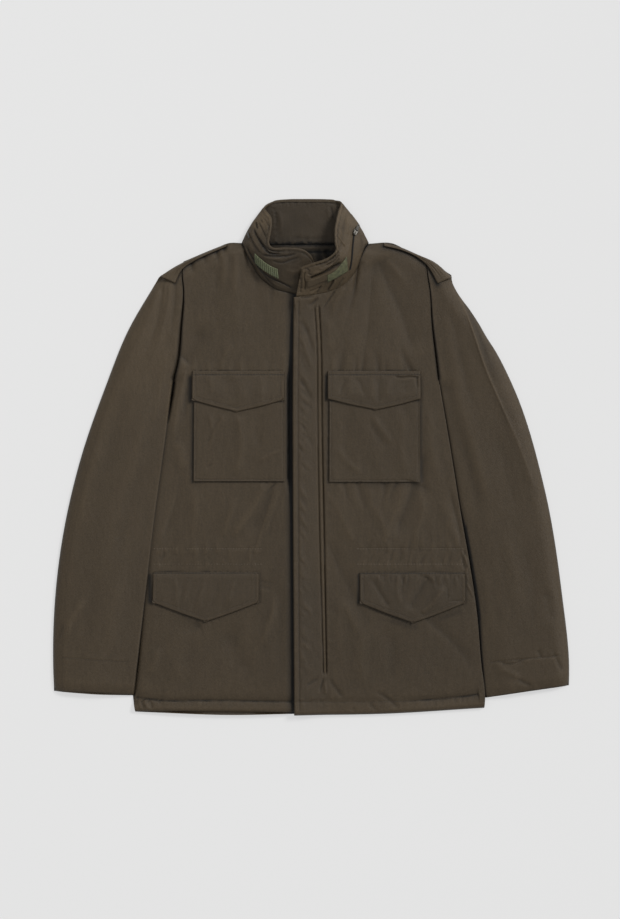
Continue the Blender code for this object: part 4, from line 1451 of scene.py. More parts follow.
@dataclass
class Body(Jacket):
    """The back and the two fronts, with the fly and the strip beside it."""

    top: float = 9.4
    wall: float = 1.2
    lowest: float = 1.5
    shoulder_rim: tuple[float, float] = (6.6, 22.0)  # how far this edge sinks, and how wide its curve is
    flank_rim: tuple[float, float] = (7.6, 26.0)
    tucked_rim: tuple[float, float] = (0.6, 1.6)  # the left flank's, under which the sleeve is tucked
    hem_rim: tuple[float, float] = (6.8, 6.5)
    hem_ditch: tuple[float, float] = (-1.1, 1.5)  # the groove that the hem's stitches press, high and wide
    hem_valley: tuple[float, float] = (-1.9, 8.0)  # the hollow round it
    fly_rise: float = 6.0
    fly_wide: float = 62.0  # how far from its edge the fly has sunk to the front's own height
    fly_rim: tuple[float, float] = (3.4, 1.9)
    fly_dip: float = 4.4  # how far the under front sinks beside the fly's edge
    slit_dip: float = 6.4  # how far the right front sinks under its sleeve's edge

    def __post_init__(self) -> None:
        """Lays the lines that the fronts' heights follow."""
        hem = {
            "right": [RIGHT.centre[0], RIGHT.hem_corner],
            "left": [LEFT.centre[0], LEFT.hem_middle, LEFT.hem_corner],
        }
        flank = {
            "right": Track(RIGHT.underarm, RIGHT.flank),
            "left": Track([*LEFT.sleeve_inner, LEFT.hem_corner]),
        }
        self.edges = {
            side.word: {
                "shoulder": Track(side.shoulder),
                "armhole": Track(side.armhole),
                "flank": flank[side.word],
                "hem": Track(hem[side.word]),
            }
            for side in (RIGHT, LEFT)
        }
        self.slit = Track(RIGHT.sleeve_inner)
        self.hem_line = {
            "right": ((-279, -384.5), (-239, -389), (-173, -389), (-34, -391), (5, -391)),
            "left": ((-27.4, -391), (110, -391), (190, -388), (268, -379.5)),
        }

    def height(self, side: Side, x: Array, y: Array) -> Array:
        """Works out a front's height without its small marks.

        Args:
            side: which front.
            x: places along X.
            y: places along Y.

        Returns:
            The height at each place, in millimetres.
        """
        z = np.full(x.shape, self.top)
        soft, dip = slit_size(side, y)
        rims = {
            "shoulder": self.shoulder_rim,
            "armhole": (dip, soft),
            "flank": self.flank_rim if side is RIGHT else self.tucked_rim,
            "hem": self.hem_rim,
        }
        for name, track in self.edges[side.word].items():
            dip, soft = rims[name]
            z -= dip * (1 - rounded(track.away(x, y) / soft))
        ditch = Fold(self.hem_line[side.word], *self.hem_ditch, fade=FULL)
        valley = Fold(self.hem_line[side.word], *self.hem_valley, fade=FULL)
        neck = Fold(side.neck, -0.7 if side is RIGHT else -0.3, 1.8, fade=(0.0, 0.02))
        swell = Fold(side.neck, 1.2 if side is RIGHT else 3.2, 18.0, fade=(0.0, 0.1))
        z += (ditch.lift(x, y) + valley.lift(x, y)) * (0.4 + 0.6 * self._hem_share(side, x))
        z += neck.lift(x, y) + swell.lift(x, y)
        if side is RIGHT:
            z -= self.fly_dip * np.interp(y, [-60, -34, 128, 165], [0.2, 1.0, 1.0, 0.2]) * eased((x + 42) / 9)
            deep = self.slit_dip * np.interp(y, [-400, -250, 50, 84], [0.4, 0.15, 0.15, 1.0])
            z -= deep * bell(self.slit.away(x, y) / 3.0) * eased((124 - y) / 8)
        else:
            z += self.fly_rise * (1 - eased((x + 29) / self.fly_wide))
            dip, soft = self.fly_rim
            z -= dip * (1 - rounded((x - self._fly_edge(y)) / soft))
        return np.maximum(z, self.lowest)

    @staticmethod
    def _hem_share(side: Side, x: Array) -> Array:
        """Returns how deep the hem's stitches sit: all along at the right, only by the flank at the left."""
        return np.ones(x.shape) if side is RIGHT else eased((x - 130) / 60)

    @staticmethod
    def _fly_edge(y: Array) -> Array:
        """Returns where the fly's free edge runs at each height up the jacket."""
        return np.interp(y, [-413, -100, 100, 252], [-27, -29, -29.5, -28])

    def surface(self, side: Side, x: Array, y: Array) -> Array:
        """Works out a front's finished height, with its creases and grooves.

        Args:
            side: which front.
            x: places along X.
            y: places along Y.

        Returns:
            The height at each place, in millimetres.
        """
        z = self.height(side, x, y)
        edges = self.edges[side.word]
        near = np.minimum(edges["shoulder"].away(x, y), edges["hem"].away(x, y))
        share = 0.25 + 0.75 * eased(near / 8)
        z += share * (RIGHT_FRONT if side is RIGHT else LEFT_FRONT).lift(x, y)
        start, stop = (-251, -79) if side is RIGHT else (74, 243)
        for level in CHANNEL_Y:
            z += Fold(((start, level), (stop, level)), -0.45, 1.4, fade=(0.04, 0.04)).lift(x, y)
        if side is LEFT:
            for path, depth, width in ((WELT_LEFT, 1.7, 1.2), (WELT_RIGHT, 2.6, 1.4)):
                line = tuple(map(tuple, Track(path).line))
                z += Fold(line, -depth, width, sharp=1.6, fade=(0.01, 0.01)).lift(x, y)
            z += Fold(self.fly_stitch_line(), -0.7, 1.5, fade=FULL).lift(x, y)
        return np.maximum(z, self.lowest)

    def painted_shade(self, side: Side, x: Array, y: Array) -> Array:
        """Works out the painted shade on a front in the deep gaps beside it and under the pieces on it, with
        a little painted light.

        Args:
            side: which front.
            x: places along X.
            y: places along Y.

        Returns:
            The share of its colour that the painted shade takes away at each place; below zero it is painted
            light.
        """
        soft, _ = slit_size(side, y)
        gap = self.edges[side.word]["armhole"].away(x, y)
        dark = DARKEST * bell(gap / (soft + 0.4))
        neck = Track(side.neck).away(x, y)
        if side is RIGHT:
            dark = self._painted_shade_by_fly(dark, x, y)
            dark = np.maximum(dark, 0.85 * bell(neck / 1.3) + 0.14 * bell(neck / 12.0))
        else:
            near = self.edges["left"]["flank"].away(x, y, 30)
            share = np.interp(y, [-390, -260, -240, -100, -80, 124], [0.2, 0.2, 0.3, 0.3, 0.15, 0.15])
            dark = np.maximum(dark, share * bell(near) * eased((120 - y) / 8))
            dark = np.maximum(dark, 0.8 * bell(neck / 1.5) * eased((y - 300) / 8))
            # painted darker tone below the waist and painted light on the hem's band
            dark += 0.055 * eased((-180 - y) / 30) - 0.07 * eased((-384 - y) / 8)
            # painted highlight beside the armhole's slit, and painted shade over the fly's strip
            dark -= 0.22 * bell(gap - soft - 1.8) * eased((256 - y) / 20) * eased((y - 96) / 16)
            dark += 0.09 * (1 - eased((x - 20) / 10)) * eased((x - self._fly_edge(y) - 5) / 5)
        dark = np.maximum(dark, lap_painted_shade(side, x, y))
        # painted shade in the hem's stitched groove, uneven along its length
        uneven = np.clip(0.30 + Crumple(0.45, 9, 9, 0, 71).lift(x, y), 0.08, 0.6)
        hem = Track(self.hem_line[side.word]).away(x, y, 40)
        dark = np.maximum(dark, uneven * self._hem_share(side, x) * bell(hem / 1.2))
        for edge, depth, width in CONTACT_SHADOWS[side.word]:
            dark = np.maximum(dark, depth * bell(Track(edge).away(x, y, 400) / width))
        return dark

    def _painted_shade_by_fly(self, dark: Array, x: Array, y: Array) -> Array:
        """Works out the painted shadow on the right front beside the fly and under its sleeve's edge.

        Args:
            dark: how dark it is already.
            x: places along X.
            y: places along Y.

        Returns:
            How dark it is at each place.
        """
        beside = self._fly_edge(y) - x
        levels = [-410, -200, -90, -46, -34, 128, 140, 200, 250]
        core = np.interp(y, levels, [3, 3.4, 3.6, 5.0, 8.6, 8.6, 5.6, 4.0, 1.2])
        wide = np.interp(y, [-410, -60, 130, 165, 215, 255], [14, 13, 10, 9, 13, 17])
        shade = np.interp(y, [165, 215, 255], [0.42, 0.45, 0.66])
        dark = np.maximum(dark, DARKEST * (1 - eased((beside - core) / 2.6)))
        dark = np.maximum(dark, shade * (1 - eased((beside - core) / wide)))
        near = self.slit.away(x, y, 30)
        levels = [-390, -236, -160, -20, 50, 78, 124]
        share = np.interp(y, levels, [0.8, 0.75, 0.30, 0.45, 0.5, 0.93, 0.93])
        wide = np.interp(y, [-390, -236, -160, 50, 78, 110, 124], [1.5, 1.3, 1.3, 1.3, 2.6, 4.6, 4.6])
        dark = np.maximum(dark, share * bell(near / wide) * eased((128 - y) / 8))
        dark = np.maximum(dark, 0.14 * (1 - eased(near / 14.0)) * eased((60 - y) / 20))
        # painted shade: a darker tone near the fly below the waist, and low on the skirt
        return dark + (0.05 * eased((x + 96) / 24) * eased((-36 - y) / 12) + 0.02 * eased((-200 - y) / 40))

    @staticmethod
    def fly_stitch_line() -> Points:
        """Returns the line of stitches beside the fly's free edge."""
        return tuple((x + 8.5, y) for x, y in ((-27, -405), (-29, -100), (-29.5, 100), (-28, 249)))

    def build(self) -> None:
        """Builds the back, the fronts and the strip, with their stitches."""
        self.build_back()
        right, left = self._front_outline(RIGHT), self._front_outline(LEFT)
        hem, chest, far = (0.0, 30.0), (235, 268), math.inf
        us = stations(right.bottom.length, 2.8, 1.5, (22, 50), (right.bottom.length - 62, far))
        vs = stations(right.start.length, 3.0, 1.7, hem, chest, (right.start.length - 14, far))
        self._lay_front(RIGHT, right.grid(us, vs), ["back_cloth"])
        us = stations(left.bottom.length, 2.8, 1.1, (0, 58), (left.bottom.length - 12, far))
        vs = stations(left.start.length, 2.9, 1.7, hem, chest, (left.start.length - 14, far))
        self._lay_front(LEFT, left.grid(us, vs), ["back_cloth", "front_right_cloth"])
        self.build_welt()

    @staticmethod
    def _front_outline(side: Side) -> Outline:
        """Sets out a front's plan, from its centre to its side and from hem to shoulder.

        Args:
            side: which front.

        Returns:
            The plan's edges.
        """
        flank = [side.flank[::-1], side.underarm[::-1]] if side is RIGHT else [side.sleeve_inner[::-1]]
        outer = Track([side.hem_corner, *flank[0]], *flank[1:], side.armhole[::-1])
        bottom = Track([side.centre[0], side.hem_middle, side.hem_corner])
        return Outline(bottom, Track(side.neck, side.shoulder), Track(side.centre), outer)

    def _lay_front(self, side: Side, plan: Array, rests_on: Sequence[str]) -> None:
        """Lays one front and its stitches.

        Args:
            side: which front.
            plan: its grid of points, seen from above.
            rests_on: what it lies on.
        """
        node = f"front_{side.word}"
        height = partial(self.surface, side)
        x, y = plan[..., 0], plan[..., 1]
        face = raised(plan, height(x, y))
        dot = RowSizes(4.3, 2.8, 0.62 if side is RIGHT else 0.8, 0.5, 4)
        threads = self.sew(f"{node}_stitches", [follow(line, height) for line in self._stitch_lines(side)])
        pale = [follow(line, height) for line in self._channel_lines(side)]
        dots = self.sew(f"{node}_waist_stitches", pale, self.wardrobe.pale_thread, dot)
        self.lay(node, face, self.wall, rests_on, self.painted_shade(side, x, y), with_pieces=[threads, dots])

    def _stitch_lines(self, side: Side) -> list[Points]:
        """Sets out the stitches in a front's own colour, along its hem and armhole and, at the left, its fly.

        Args:
            side: which front.

        Returns:
            Each line of stitches.
        """
        fly = [self.fly_stitch_line()] if side is LEFT else []
        inset = -2.6 if side is LEFT else 2.6
        return [self.hem_line[side.word], *fly, tuple((x + inset, y) for x, y in side.armhole)]

    @staticmethod
    def _channel_lines(side: Side) -> list[Points]:
        """Returns the lines of stitches that hold the waist's drawcord channel."""
        start, stop = (-250, -80) if side is RIGHT else (75, 242)
        return [((start, level), (stop, level)) for level in CHANNEL_Y]

    def build_back(self) -> None:
        """Lays the back, whose neck shows inside the collar."""
        sides = [
            Track([side.hem_corner, *side.flank[::-1]], side.underarm[::-1], side.armhole[::-1])
            for side in (RIGHT, LEFT)
        ]
        top = Track(RIGHT.shoulder[::-1], NECK_BACK, LEFT.shoulder)
        bottom = Track([RIGHT.hem_corner, (-140, -407), (-10, -407), (120, -406), LEFT.hem_corner])
        plan = Outline(bottom, top, *sides)
        us = stations(plan.top.length, 9.0, 1.6, (132, 262))
        vs = stations(plan.start.length, 8.0, 1.4, (plan.start.length - 34, math.inf))
        grid = plan.grid(us, vs)
        x, y = grid[..., 0], grid[..., 1]
        z = 1.6 + 0.25 * eased((y - 200) / 80) + BACK_NECK.lift(x, y) * eased((y - 296) / 12)
        face = raised(grid, np.maximum(z, 1.0))
        # painted shade on the back inside the collar: darker to the wearer's left, in its own hollows, along
        # its two seams and above a ragged line, fading to nothing lower down
        painted_shading = 0.42 + 0.08 * eased((x - 2) / 16) + 0.06 * eased((329 - y) / 4) + painted_hollow_shade(face) * 1.2
        painted_shading += 0.6 * bell((y - 341.5) / 2.4) + 0.5 * bell((y - 328.0) / 1.8)
        level = 337.0 + 1.4 * np.sin(x * 0.42 + 1.6 * np.sin(x * 0.17)) + 0.7 * np.sin(x * 1.3)
        painted_shading += 0.36 * eased((y - level) / 1.6) + 0.25 * np.exp(-(((x - 24) / 9) ** 2) - ((y - 327) / 6) ** 2)
        painted_shading = np.clip(painted_shading, 0, 0.9) * eased((y - 290) / 8)
        self.lay("back", face, self.wall, ["floor"], painted_shading, material=self.wardrobe.inside)

    def build_welt(self) -> None:
        """Lays the narrow strip between the fly's two long grooves."""
        vs, columns = np.linspace(0, 1, 330), 9
        us = np.linspace(0.06, 0.94, columns)[:, None, None]
        plan = (1 - us) * Track(WELT_LEFT).at(vs)[None] + us * Track(WELT_RIGHT).at(vs)[None]
        share = np.linspace(0, 1, columns)[:, None]
        swell = 1.9 * (np.sin(np.pi * share) ** 0.6) - 1.5
        x, y = plan[..., 0], plan[..., 1]
        ends = eased((y + 349) / 6) * eased((243 - y) / 6)
        z = self.height(LEFT, x, y) + swell * ends - 1.6 * (1 - ends) + 0.25 * np.sin(y * 0.21) * share
        self.lay("fly_welt", raised(plan, z), 0.8, ["front_left_cloth"])


BACK_NECK = Relief(
    Fold(((-60, 341), (0, 340.6), (52, 341)), -0.5, 1.3),
    Fold(((-60, 335.5), (0, 334), (52, 335.5)), 0.9, 2.4),
    Fold(((-60, 328.5), (0, 327), (52, 328.5)), -0.7, 1.4),
    Fold(((16, 336), (20, 322), (26, 308)), 1.6, 3.4),
    Fold(((24, 334), (29, 320), (34, 308)), -0.6, 2.4),
    Fold(((2, 332), (6, 318), (8, 306)), 0.9, 4.0),
    Fold(((-24, 331), (-20, 322), (-10, 314)), 0.9, 3.0),
)


RIGHT_SLEEVE = Relief(
    Crumple(0.30, 110, 30, 74, 7),
    Crumple(0.08, 30, 12, 60, 8),
    Fold(((-224, 284), (-231, 231), (-240, 194), (-268, 130)), 1.4, 6.0, sharp=1.3, fade=(0.1, 0.4)),
    Fold(((-236, 276), (-247, 210), (-272, 148)), -1.3, 5.0, sharp=1.4, fade=(0.1, 0.4)),
    Fold(((-243, 272), (-260, 216), (-290, 156), (-306, 100)), 1.1, 8.0, sharp=1.3, fade=(0.1, 0.5)),
    Fold(((-216, 278), (-219, 236), (-224, 190)), -0.8, 3.6, fade=(0.1, 0.5)),
    Fold(((-228, 180), (-240, 110), (-256, 30)), 0.9, 8.0, sharp=1.4),
    Fold(((-233, 276), (-234, 262), (-236, 250)), 0.7, 1.8, fade=(0.0, 0.8)),
    Fold(((-250, 120), (-270, 40), (-300, -60)), 1.2, 13.0),
    Fold(((-290, 120), (-312, 40), (-330, -40)), -1.0, 13.0),
    Fold(((-262, 10), (-290, -80), (-318, -170)), -1.1, 14.0),
    Fold(((-330, 40), (-356, -40), (-372, -130)), 0.9, 12.0),
    Fold(((-358, -221), (-380, -256), (-397, -294)), 1.3, 7.0),
    Fold(((-394, -261), (-402, -284), (-410, -308)), -1.1, 4.0),
    Fold(((-300, -180), (-318, -250), (-322, -318)), 0.9, 14.0),
    Fold(((-340, -180), (-352, -240), (-362, -300)), -0.8, 11.0),
    Puckers(((-206, 297), (-203.5, 265), (-207.5, 208), (-213, 151)), 17.0, 20.0, 0.7, 4.6, 180.0, 41),
    Puckers(((-292, -327), (-398, -321)), 15.0, 24.0, 0.5, 4.6, 180.0, 42),
    Puckers(((-286, -379), (-408, -373)), 10.0, 12.0, 0.5, 3.0, 180.0, 43),
)
LEFT_SLEEVE = Relief(
    Crumple(0.28, 110, 30, 108, 9),
    Crumple(0.08, 30, 12, 120, 10),
    Fold(
        ((235, 262), (249, 229), (259, 200), (280, 138), (303, 85), (327, 30), (360, -58)),
        1.2, 8.0, left=0.42, sharp=1.25, fade=(0.1, 0.1),
    ),
    Fold(
        ((235, 262), (248, 229), (258, 200), (279, 138), (302, 85), (326, 30)),
        0.9, 1.5, fade=(0.05, 0.2),
    ),
    Fold(((242, 262), (256, 228), (267, 198), (288, 136)), -1.2, 4.0, fade=(0.1, 0.4)),
    Fold(((214, 262), (230, 200), (240, 150), (262, 60)), -1.3, 9.0),
    Fold(((222, 280), (244, 262), (268, 214)), 0.9, 7.0),
    Fold(((218, 150), (236, 90), (262, 0), (286, -80)), 1.1, 11.0),
    Fold(((232, 60), (254, -20), (276, -110)), -1.0, 10.0),
    Fold(((356, -10), (376, -64), (393, -124)), 1.5, 8.0, left=0.6, sharp=1.3),
    Fold(((286, 60), (312, -20), (332, -110)), -1.0, 13.0),
    Fold(((300, -100), (322, -180), (332, -270)), 1.0, 14.0),
    Fold(((374, -205), (380, -236), (386, -268)), -1.2, 9.0),
    Fold(((336, -120), (352, -200), (358, -280)), -0.8, 12.0),
    Fold(((270, -160), (284, -240), (290, -310)), 0.8, 9.0),
    # cuff
    Fold(((326, -352), (340, -360), (354, -366)), -1.3, 3.0),
    Fold(((296, -338), (318, -344), (338, -356)), 1.1, 4.0),
    Fold(((362, -305), (367.5, -323)), -1.0, 3.0),
    Fold(((385, -307), (395, -330), (405, -346)), -1.1, 3.4),
    Fold(((292, -326), (316, -330), (344, -322)), -1.2, 2.4),
    Puckers(((404, -368), (286, -384)), 11.0, 15.0, 0.8, 3.2, 180.0, 44),
    Puckers(((190, 262), (193.5, 216), (200, 159)), 16.0, 18.0, 0.7, 4.2, 0.0, 45),
    Puckers(((398, -318), (294, -327)), 14.0, 22.0, 0.7, 4.0, 0.0, 46),
)


# painted highlight along the crest that runs down the left sleeve, and painted shade in the hollow beyond it
RIDGE_HIGHLIGHT = Fold(
    ((235.6, 259), (248, 228), (261, 192), (270, 164.6), (278.4, 141.6), (293, 105.6), (303, 85)),
    1.0,
    1.5,
    fade=(0.05, 0.3),
)
RIDGE_SHADE_BEYOND = Fold(
    ((243, 256), (256, 225), (269, 190), (280, 163), (290, 138), (304, 104)), 1.0, 8.0, fade=(0.1, 0.3)
)
RIGHT_CUFF_LINE: Points = ((-397, -320), (-336, -324.5), (-290, -327))
LEFT_CUFF_LINE: Points = ((399, -317), (344, -322), (284, -328))


@dataclass
class Sleeve(Jacket):
    """One sleeve, its upper half over its under half, and the epaulette at its head."""

    side: Side
    body: Body
    top: float = 14.0
    wall: float = 1.2
    lowest: float = 0.9
    roll: float = 24.0  # how wide the outer fold's curve is
    head_rim: tuple[float, float] = (9.5, 30.0)  # how far this edge sinks, and how wide its curve is
    cuff_rim: tuple[float, float] = (6.5, 20.0)
    patch_up: float = 3.0  # how far the epaulette's face is over what it lies on

    def __post_init__(self) -> None:
        """Lays the lines that the sleeve's height follows."""
        side = self.side
        self.relief = RIGHT_SLEEVE if self.over else LEFT_SLEEVE
        self.cuff_line = RIGHT_CUFF_LINE if self.over else LEFT_CUFF_LINE
        self.cuff_middle = (-336, -379.5) if self.over else (348.5, -374)
        self.armhole = Track(side.armhole)
        self.inner = Track(side.sleeve_inner)
        self.outer = Track(side.sleeve_outer)
        self.head = Track(side.shoulder_end())
        self.cuff = Track([side.sleeve_inner[-1], side.sleeve_outer[-1]])

    @property
    def over(self) -> bool:
        """Whether this sleeve's inner edge lies over the body, and not under it."""
        return self.side is RIGHT

    def _in_body(self, x: Array, y: Array) -> Array:
        """Returns which places are on the body's side of the armhole."""
        line = np.interp(y, *np.array(self.side.armhole)[::-1, ::-1].T)
        return x > line if self.over else x < line

    def height(self, x: Array, y: Array) -> Array:
        """Works out the upper half's height without its small marks.

        Args:
            x: places along X.
            y: places along Y.

        Returns:
            The height at each place, in millimetres.
        """
        z = np.full(x.shape, self.top)
        z -= (self.top - 0.6) * (1 - rounded(self.outer.away(x, y) / self.roll))
        for (dip, soft), track in ((self.head_rim, self.head), (self.cuff_rim, self.cuff)):
            z -= dip * (1 - rounded(track.away(x, y) / soft))
        inside = self._in_body(x, y)
        hole, gap = np.where(inside, 0.0, self.armhole.away(x, y)), self.inner.away(x, y)
        soft, dip = slit_size(self.side, y)
        z -= dip * (1 - rounded(hole / soft)) + np.where(inside, 2.0, 0.0)
        if self.over:
            z -= 4.2 * (1 - eased(np.minimum(hole, gap) / 74))
            drop = np.interp(y, [-400, -250, 50, 84], [2.4, 1.4, 1.4, 5.6])
            z -= drop * eased((126 - y) / 10) * (1 - rounded(gap / 2.4))
        else:
            z -= 2.4 * (1 - eased(hole / 40))
            gap = np.where(x < np.interp(y, *self.inner.line[::-1, ::-1].T), 0.0, gap)
            wide = np.interp(y, [-380, -230, -100, 60, 124], [6, 11, 9, 5, 4])
            low = eased((128 - y) / 24)
            z -= low * (3.2 * (1 - eased(gap / 46)) + (self.top - 5.6) * (1 - rounded((gap + 1.0) / wide)))
        return np.maximum(z, self.lowest)

    def surface(self, x: Array, y: Array) -> Array:
        """Works out the upper half's finished height.

        Args:
            x: places along X.
            y: places along Y.

        Returns:
            The height at each place, in millimetres.
        """
        ends = np.minimum(self.head.away(x, y), self.armhole.away(x, y))
        near = np.minimum(self.outer.away(x, y) / 16, ends / 9)
        z = self.height(x, y) + self.relief.lift(x, y) * (0.2 + 0.8 * eased(near))
        z += Fold(self.cuff_line, -0.25 if self.over else -0.6, 1.5, fade=(0.02, 0.02)).lift(x, y)
        return np.maximum(z, self.lowest)

    def painted_shade(self, x: Array, y: Array) -> Array:
        """Works out the painted shade on the sleeve in the gap beside the body and under the epaulette, and
        its painted highlights.

        Args:
            x: places along X.
            y: places along Y.

        Returns:
            The share of its colour that the painted shade takes away at each place; below zero it is painted
            light.
        """
        soft, _ = slit_size(self.side, y)
        hole, gap = np.where(self._in_body(x, y), 0.0, self.armhole.away(x, y)), self.inner.away(x, y)
        dark = np.maximum(DARKEST * bell(hole / (soft + 0.6)), lap_painted_shade(self.side, x, y))
        low = eased((128 - y) / 12)
        if self.over:
            share = np.interp(y, [-390, -236, -160, 50, 78, 124], [0.4, 0.35, 0.2, 0.25, 0.8, 0.9])
            # painted highlight along the sleeve's edge beside the slit
            rim = bell(hole - soft - 2.2) * eased((246 - y) / 20) * eased((y - 92) / 16)
            return np.maximum(dark, share * bell(gap / 1.1) * low) - 0.22 * rim
        levels = [-380, -262, -245, -133, -114, -100, -75, 90]
        core = np.interp(y, levels, [2.4, 3.4, 5.2, 5.6, 4.2, 2.4, 1.2, 1.0])
        share = np.interp(y, [-380, -262, -110, -88, 90, 124], [0.7, 0.95, 0.95, 0.7, 0.6, 0.9])
        dark = np.maximum(dark, share * (1 - eased((gap - core) / 1.4)) * low)
        dark = np.maximum(dark, 0.16 * (1 - eased((gap - core) / 14.0)) * low)
        # painted highlight along the left sleeve's crest and painted shade beyond it
        return dark - 0.75 * RIDGE_HIGHLIGHT.lift(x, y) + 0.28 * RIDGE_SHADE_BEYOND.lift(x, y)

    def build(self) -> None:
        """Builds the sleeve's two halves and the epaulette."""
        side = self.side
        inner = [(x - (0.0 if self.over else 9.0), y) for x, y in side.sleeve_inner]
        hole = [(x - (-3.0 if self.over else 3.0), y) for x, y in side.armhole]
        hole[-1] = inner[0]
        start = Track(inner[::-1], hole[::-1])
        bottom = Track([inner[-1], self.cuff_middle, side.sleeve_outer[-1]])
        top = Track([hole[0], side.sleeve_outer[0]])
        plan = Outline(bottom, top, start, Track(side.sleeve_outer[::-1]))
        us = stations(bottom.length, 2.6, 1.4, (0, 12), (bottom.length - (14 if self.over else 46), math.inf))
        vs = stations(start.length, 2.8, 1.6, (0, 12), (50, 64))
        under = plan.grid(np.linspace(0.015, 0.985, 34), np.linspace(0.004, 0.996, 120))
        low = self._under_height(under[..., 0], under[..., 1])
        self.lay(f"sleeve_{side.word}_under", raised(under, low), 0.9, ["floor"])
        grid = plan.grid(us, vs)
        x, y = grid[..., 0], grid[..., 1]
        face = raised(grid, self.surface(x, y))
        threads = self.sew(f"sleeve_{side.word}_stitches", [follow(self.cuff_line, self.surface)])
        rests = [f"front_{side.word}_cloth", "back_cloth"]
        node = f"sleeve_{side.word}_upper"
        self.lay(node, face, self.wall, rests, self.painted_shade(x, y), with_pieces=[threads])
        self.build_epaulette()

    def _under_height(self, x: Array, y: Array) -> Array:
        """Works out the under half's height: over the body's side where it crosses it, else on the floor.

        Args:
            x: places along X.
            y: places along Y.

        Returns:
            The height at each place, in millimetres.
        """
        low = np.full(x.shape, 1.1)
        if self.over:
            across = eased((x + 296) / 26) * eased((106 - y) / 22)
            low = low + across * (self.body.height(self.side, np.maximum(x, -278), y) + 0.4)
        else:
            low = low + 1.0 * eased((281 - x) / 8)
        return np.minimum(low, self.height(x, y) - 1.5).clip(1.0)

    def below(self, x: Array, y: Array) -> Array:
        """Returns the higher of the front and the sleeve at each place."""
        return np.where(self._in_body(x, y), self.body.height(self.side, x, y), self.height(x, y))

    def build_epaulette(self) -> None:
        """Lays the epaulette along the shoulder's edge."""
        side = self.side
        fold, lap = Track(side.fold), Track(side.lap)
        inner, outer = (Track([side.fold[k], side.lap[k]]) for k in (0, -1))
        u, v = np.meshgrid(np.linspace(0, 1, 96), np.linspace(0, 1, 34), indexing="ij")
        grid = Outline(fold, lap, inner, outer).grid(u[:, 0], v[0])
        x, y = grid[..., 0], grid[..., 1]
        below = np.max([self.below(x + a, y + b) for a in (-8, 0, 8) for b in (-6, 0, 6)], axis=0)
        z = softened(below[..., None], 6)[..., 0] + self.patch_up
        z -= (z - 4.0) * (1 - rounded(fold.away(x, y) / 7)) + 1.6 * (1 - rounded(lap.away(x, y) / 2.0))
        z -= 1.6 * (1 - rounded(outer.away(x, y) / 2.0))
        groove = Fold(tuple((a, b + 4.0) for a, b in side.lap[1:-1]), -0.5, 1.2, fade=FULL)
        z += groove.lift(x, y) + Crumple(0.25, 30, 14, 20, 12).lift(x, y)
        # painted light: the epaulette a little lighter all over, and lighter still on its pleats' crests
        painted_shading = np.full(x.shape, -0.05)
        ends = eased((u - 0.35) / 0.2), eased((0.97 - u) / 0.15)
        for middle, high in ((0.30, 0.6), (0.52, 0.9), (0.74, 0.6)):
            pleat = bell((v - middle) / 0.055) * ends[0] * ends[1]
            z += high * pleat
            painted_shading -= 0.30 * high * pleat
        rests = [f"front_{side.word}_cloth", f"sleeve_{side.word}_upper_cloth"]
        self.lay(f"epaulette_{side.word}", raised(grid, z), self.wall, rests, painted_shading)


# ---- pockets ---------------------------------------------------------------------------------


@dataclass(frozen=True)
class PocketCut:
    """A bag pocket's place on a front."""

    side: Side
    left: float
    right: float
    top: float
    bottom: float
    spread: float  # how much further out each side is at the foot
    relief: Relief


class Level(Enum):
    """The two levels that flaps are at."""

    CHEST = "chest"
    HIP = "hip"


@dataclass(frozen=True)
class FlapCut:
    """A pointed flap's place on a front."""

    level: Level
    side: Side
    left: float
    right: float
    top: float
    side_y: float  # where its two sides end
    tip: Spot
    lifted: float  # how much further off the front its point is than its seam
    relief: Relief

    @property
    def name(self) -> str:
        """The solid's name."""
        return f"flap_{self.level.value}_{self.side.word}"

    def legs(self, drop: float) -> list[Points]:
        """Returns the two slanted edges, lowered by a drop."""
        tip = (self.tip[0], self.tip[1] - drop)
        return [[(self.left, self.side_y - drop), tip], [tip, (self.right, self.side_y - drop)]]


POCKETS = (
    PocketCut(
        side=RIGHT,
        left=-186, right=-42.5, top=128, bottom=-38.5, spread=1.0,
        relief=Relief(
            Crumple(0.20, 40, 18, 84, 51),
            Fold(((-137, 68), (-153, 43), (-165, 8)), 0.5, 3.8, sharp=1.4, fade=(0.15, 0.3)),
            Fold(((-143, 66), (-158, 40), (-168, 12)), -0.45, 4.6, fade=(0.15, 0.3)),
            Fold(((-163, 72), (-159, 55), (-158, 38)), 0.4, 2.8),
            Fold(((-158, -10), (-163, -15), (-169, -16)), -0.35, 2.2),
            Fold(((-117, 68), (-111, 28), (-119, -34)), 0.8, 8.0, sharp=1.4, fade=(0.1, 0.2)),
            Fold(((-88, -8), (-68, 2), (-46, 14)), 0.5, 3.8, sharp=1.4),
            Fold(((-80, 74), (-86, 40), (-82, 10)), -0.5, 8.0),
            strength=1.5,
        ),
    ),
    PocketCut(
        side=LEFT,
        left=30, right=173, top=128, bottom=-39.5, spread=0.5,
        relief=Relief(
            Crumple(0.22, 40, 18, 100, 52),
            Fold(((95, 70), (112, 46), (130, 18)), 0.55, 5.4),
            Fold(((90, 60), (104, 38), (118, 12)), -0.45, 5.4),
            Fold(((60, 76), (54, 30), (60, -30)), -0.5, 8.0),
            Fold(((150, 80), (144, 20), (152, -32)), 0.6, 9.0),
            Fold(((40, 20), (60, -10), (90, -30)), 0.5, 6.0),
            strength=1.5,
        ),
    ),
)
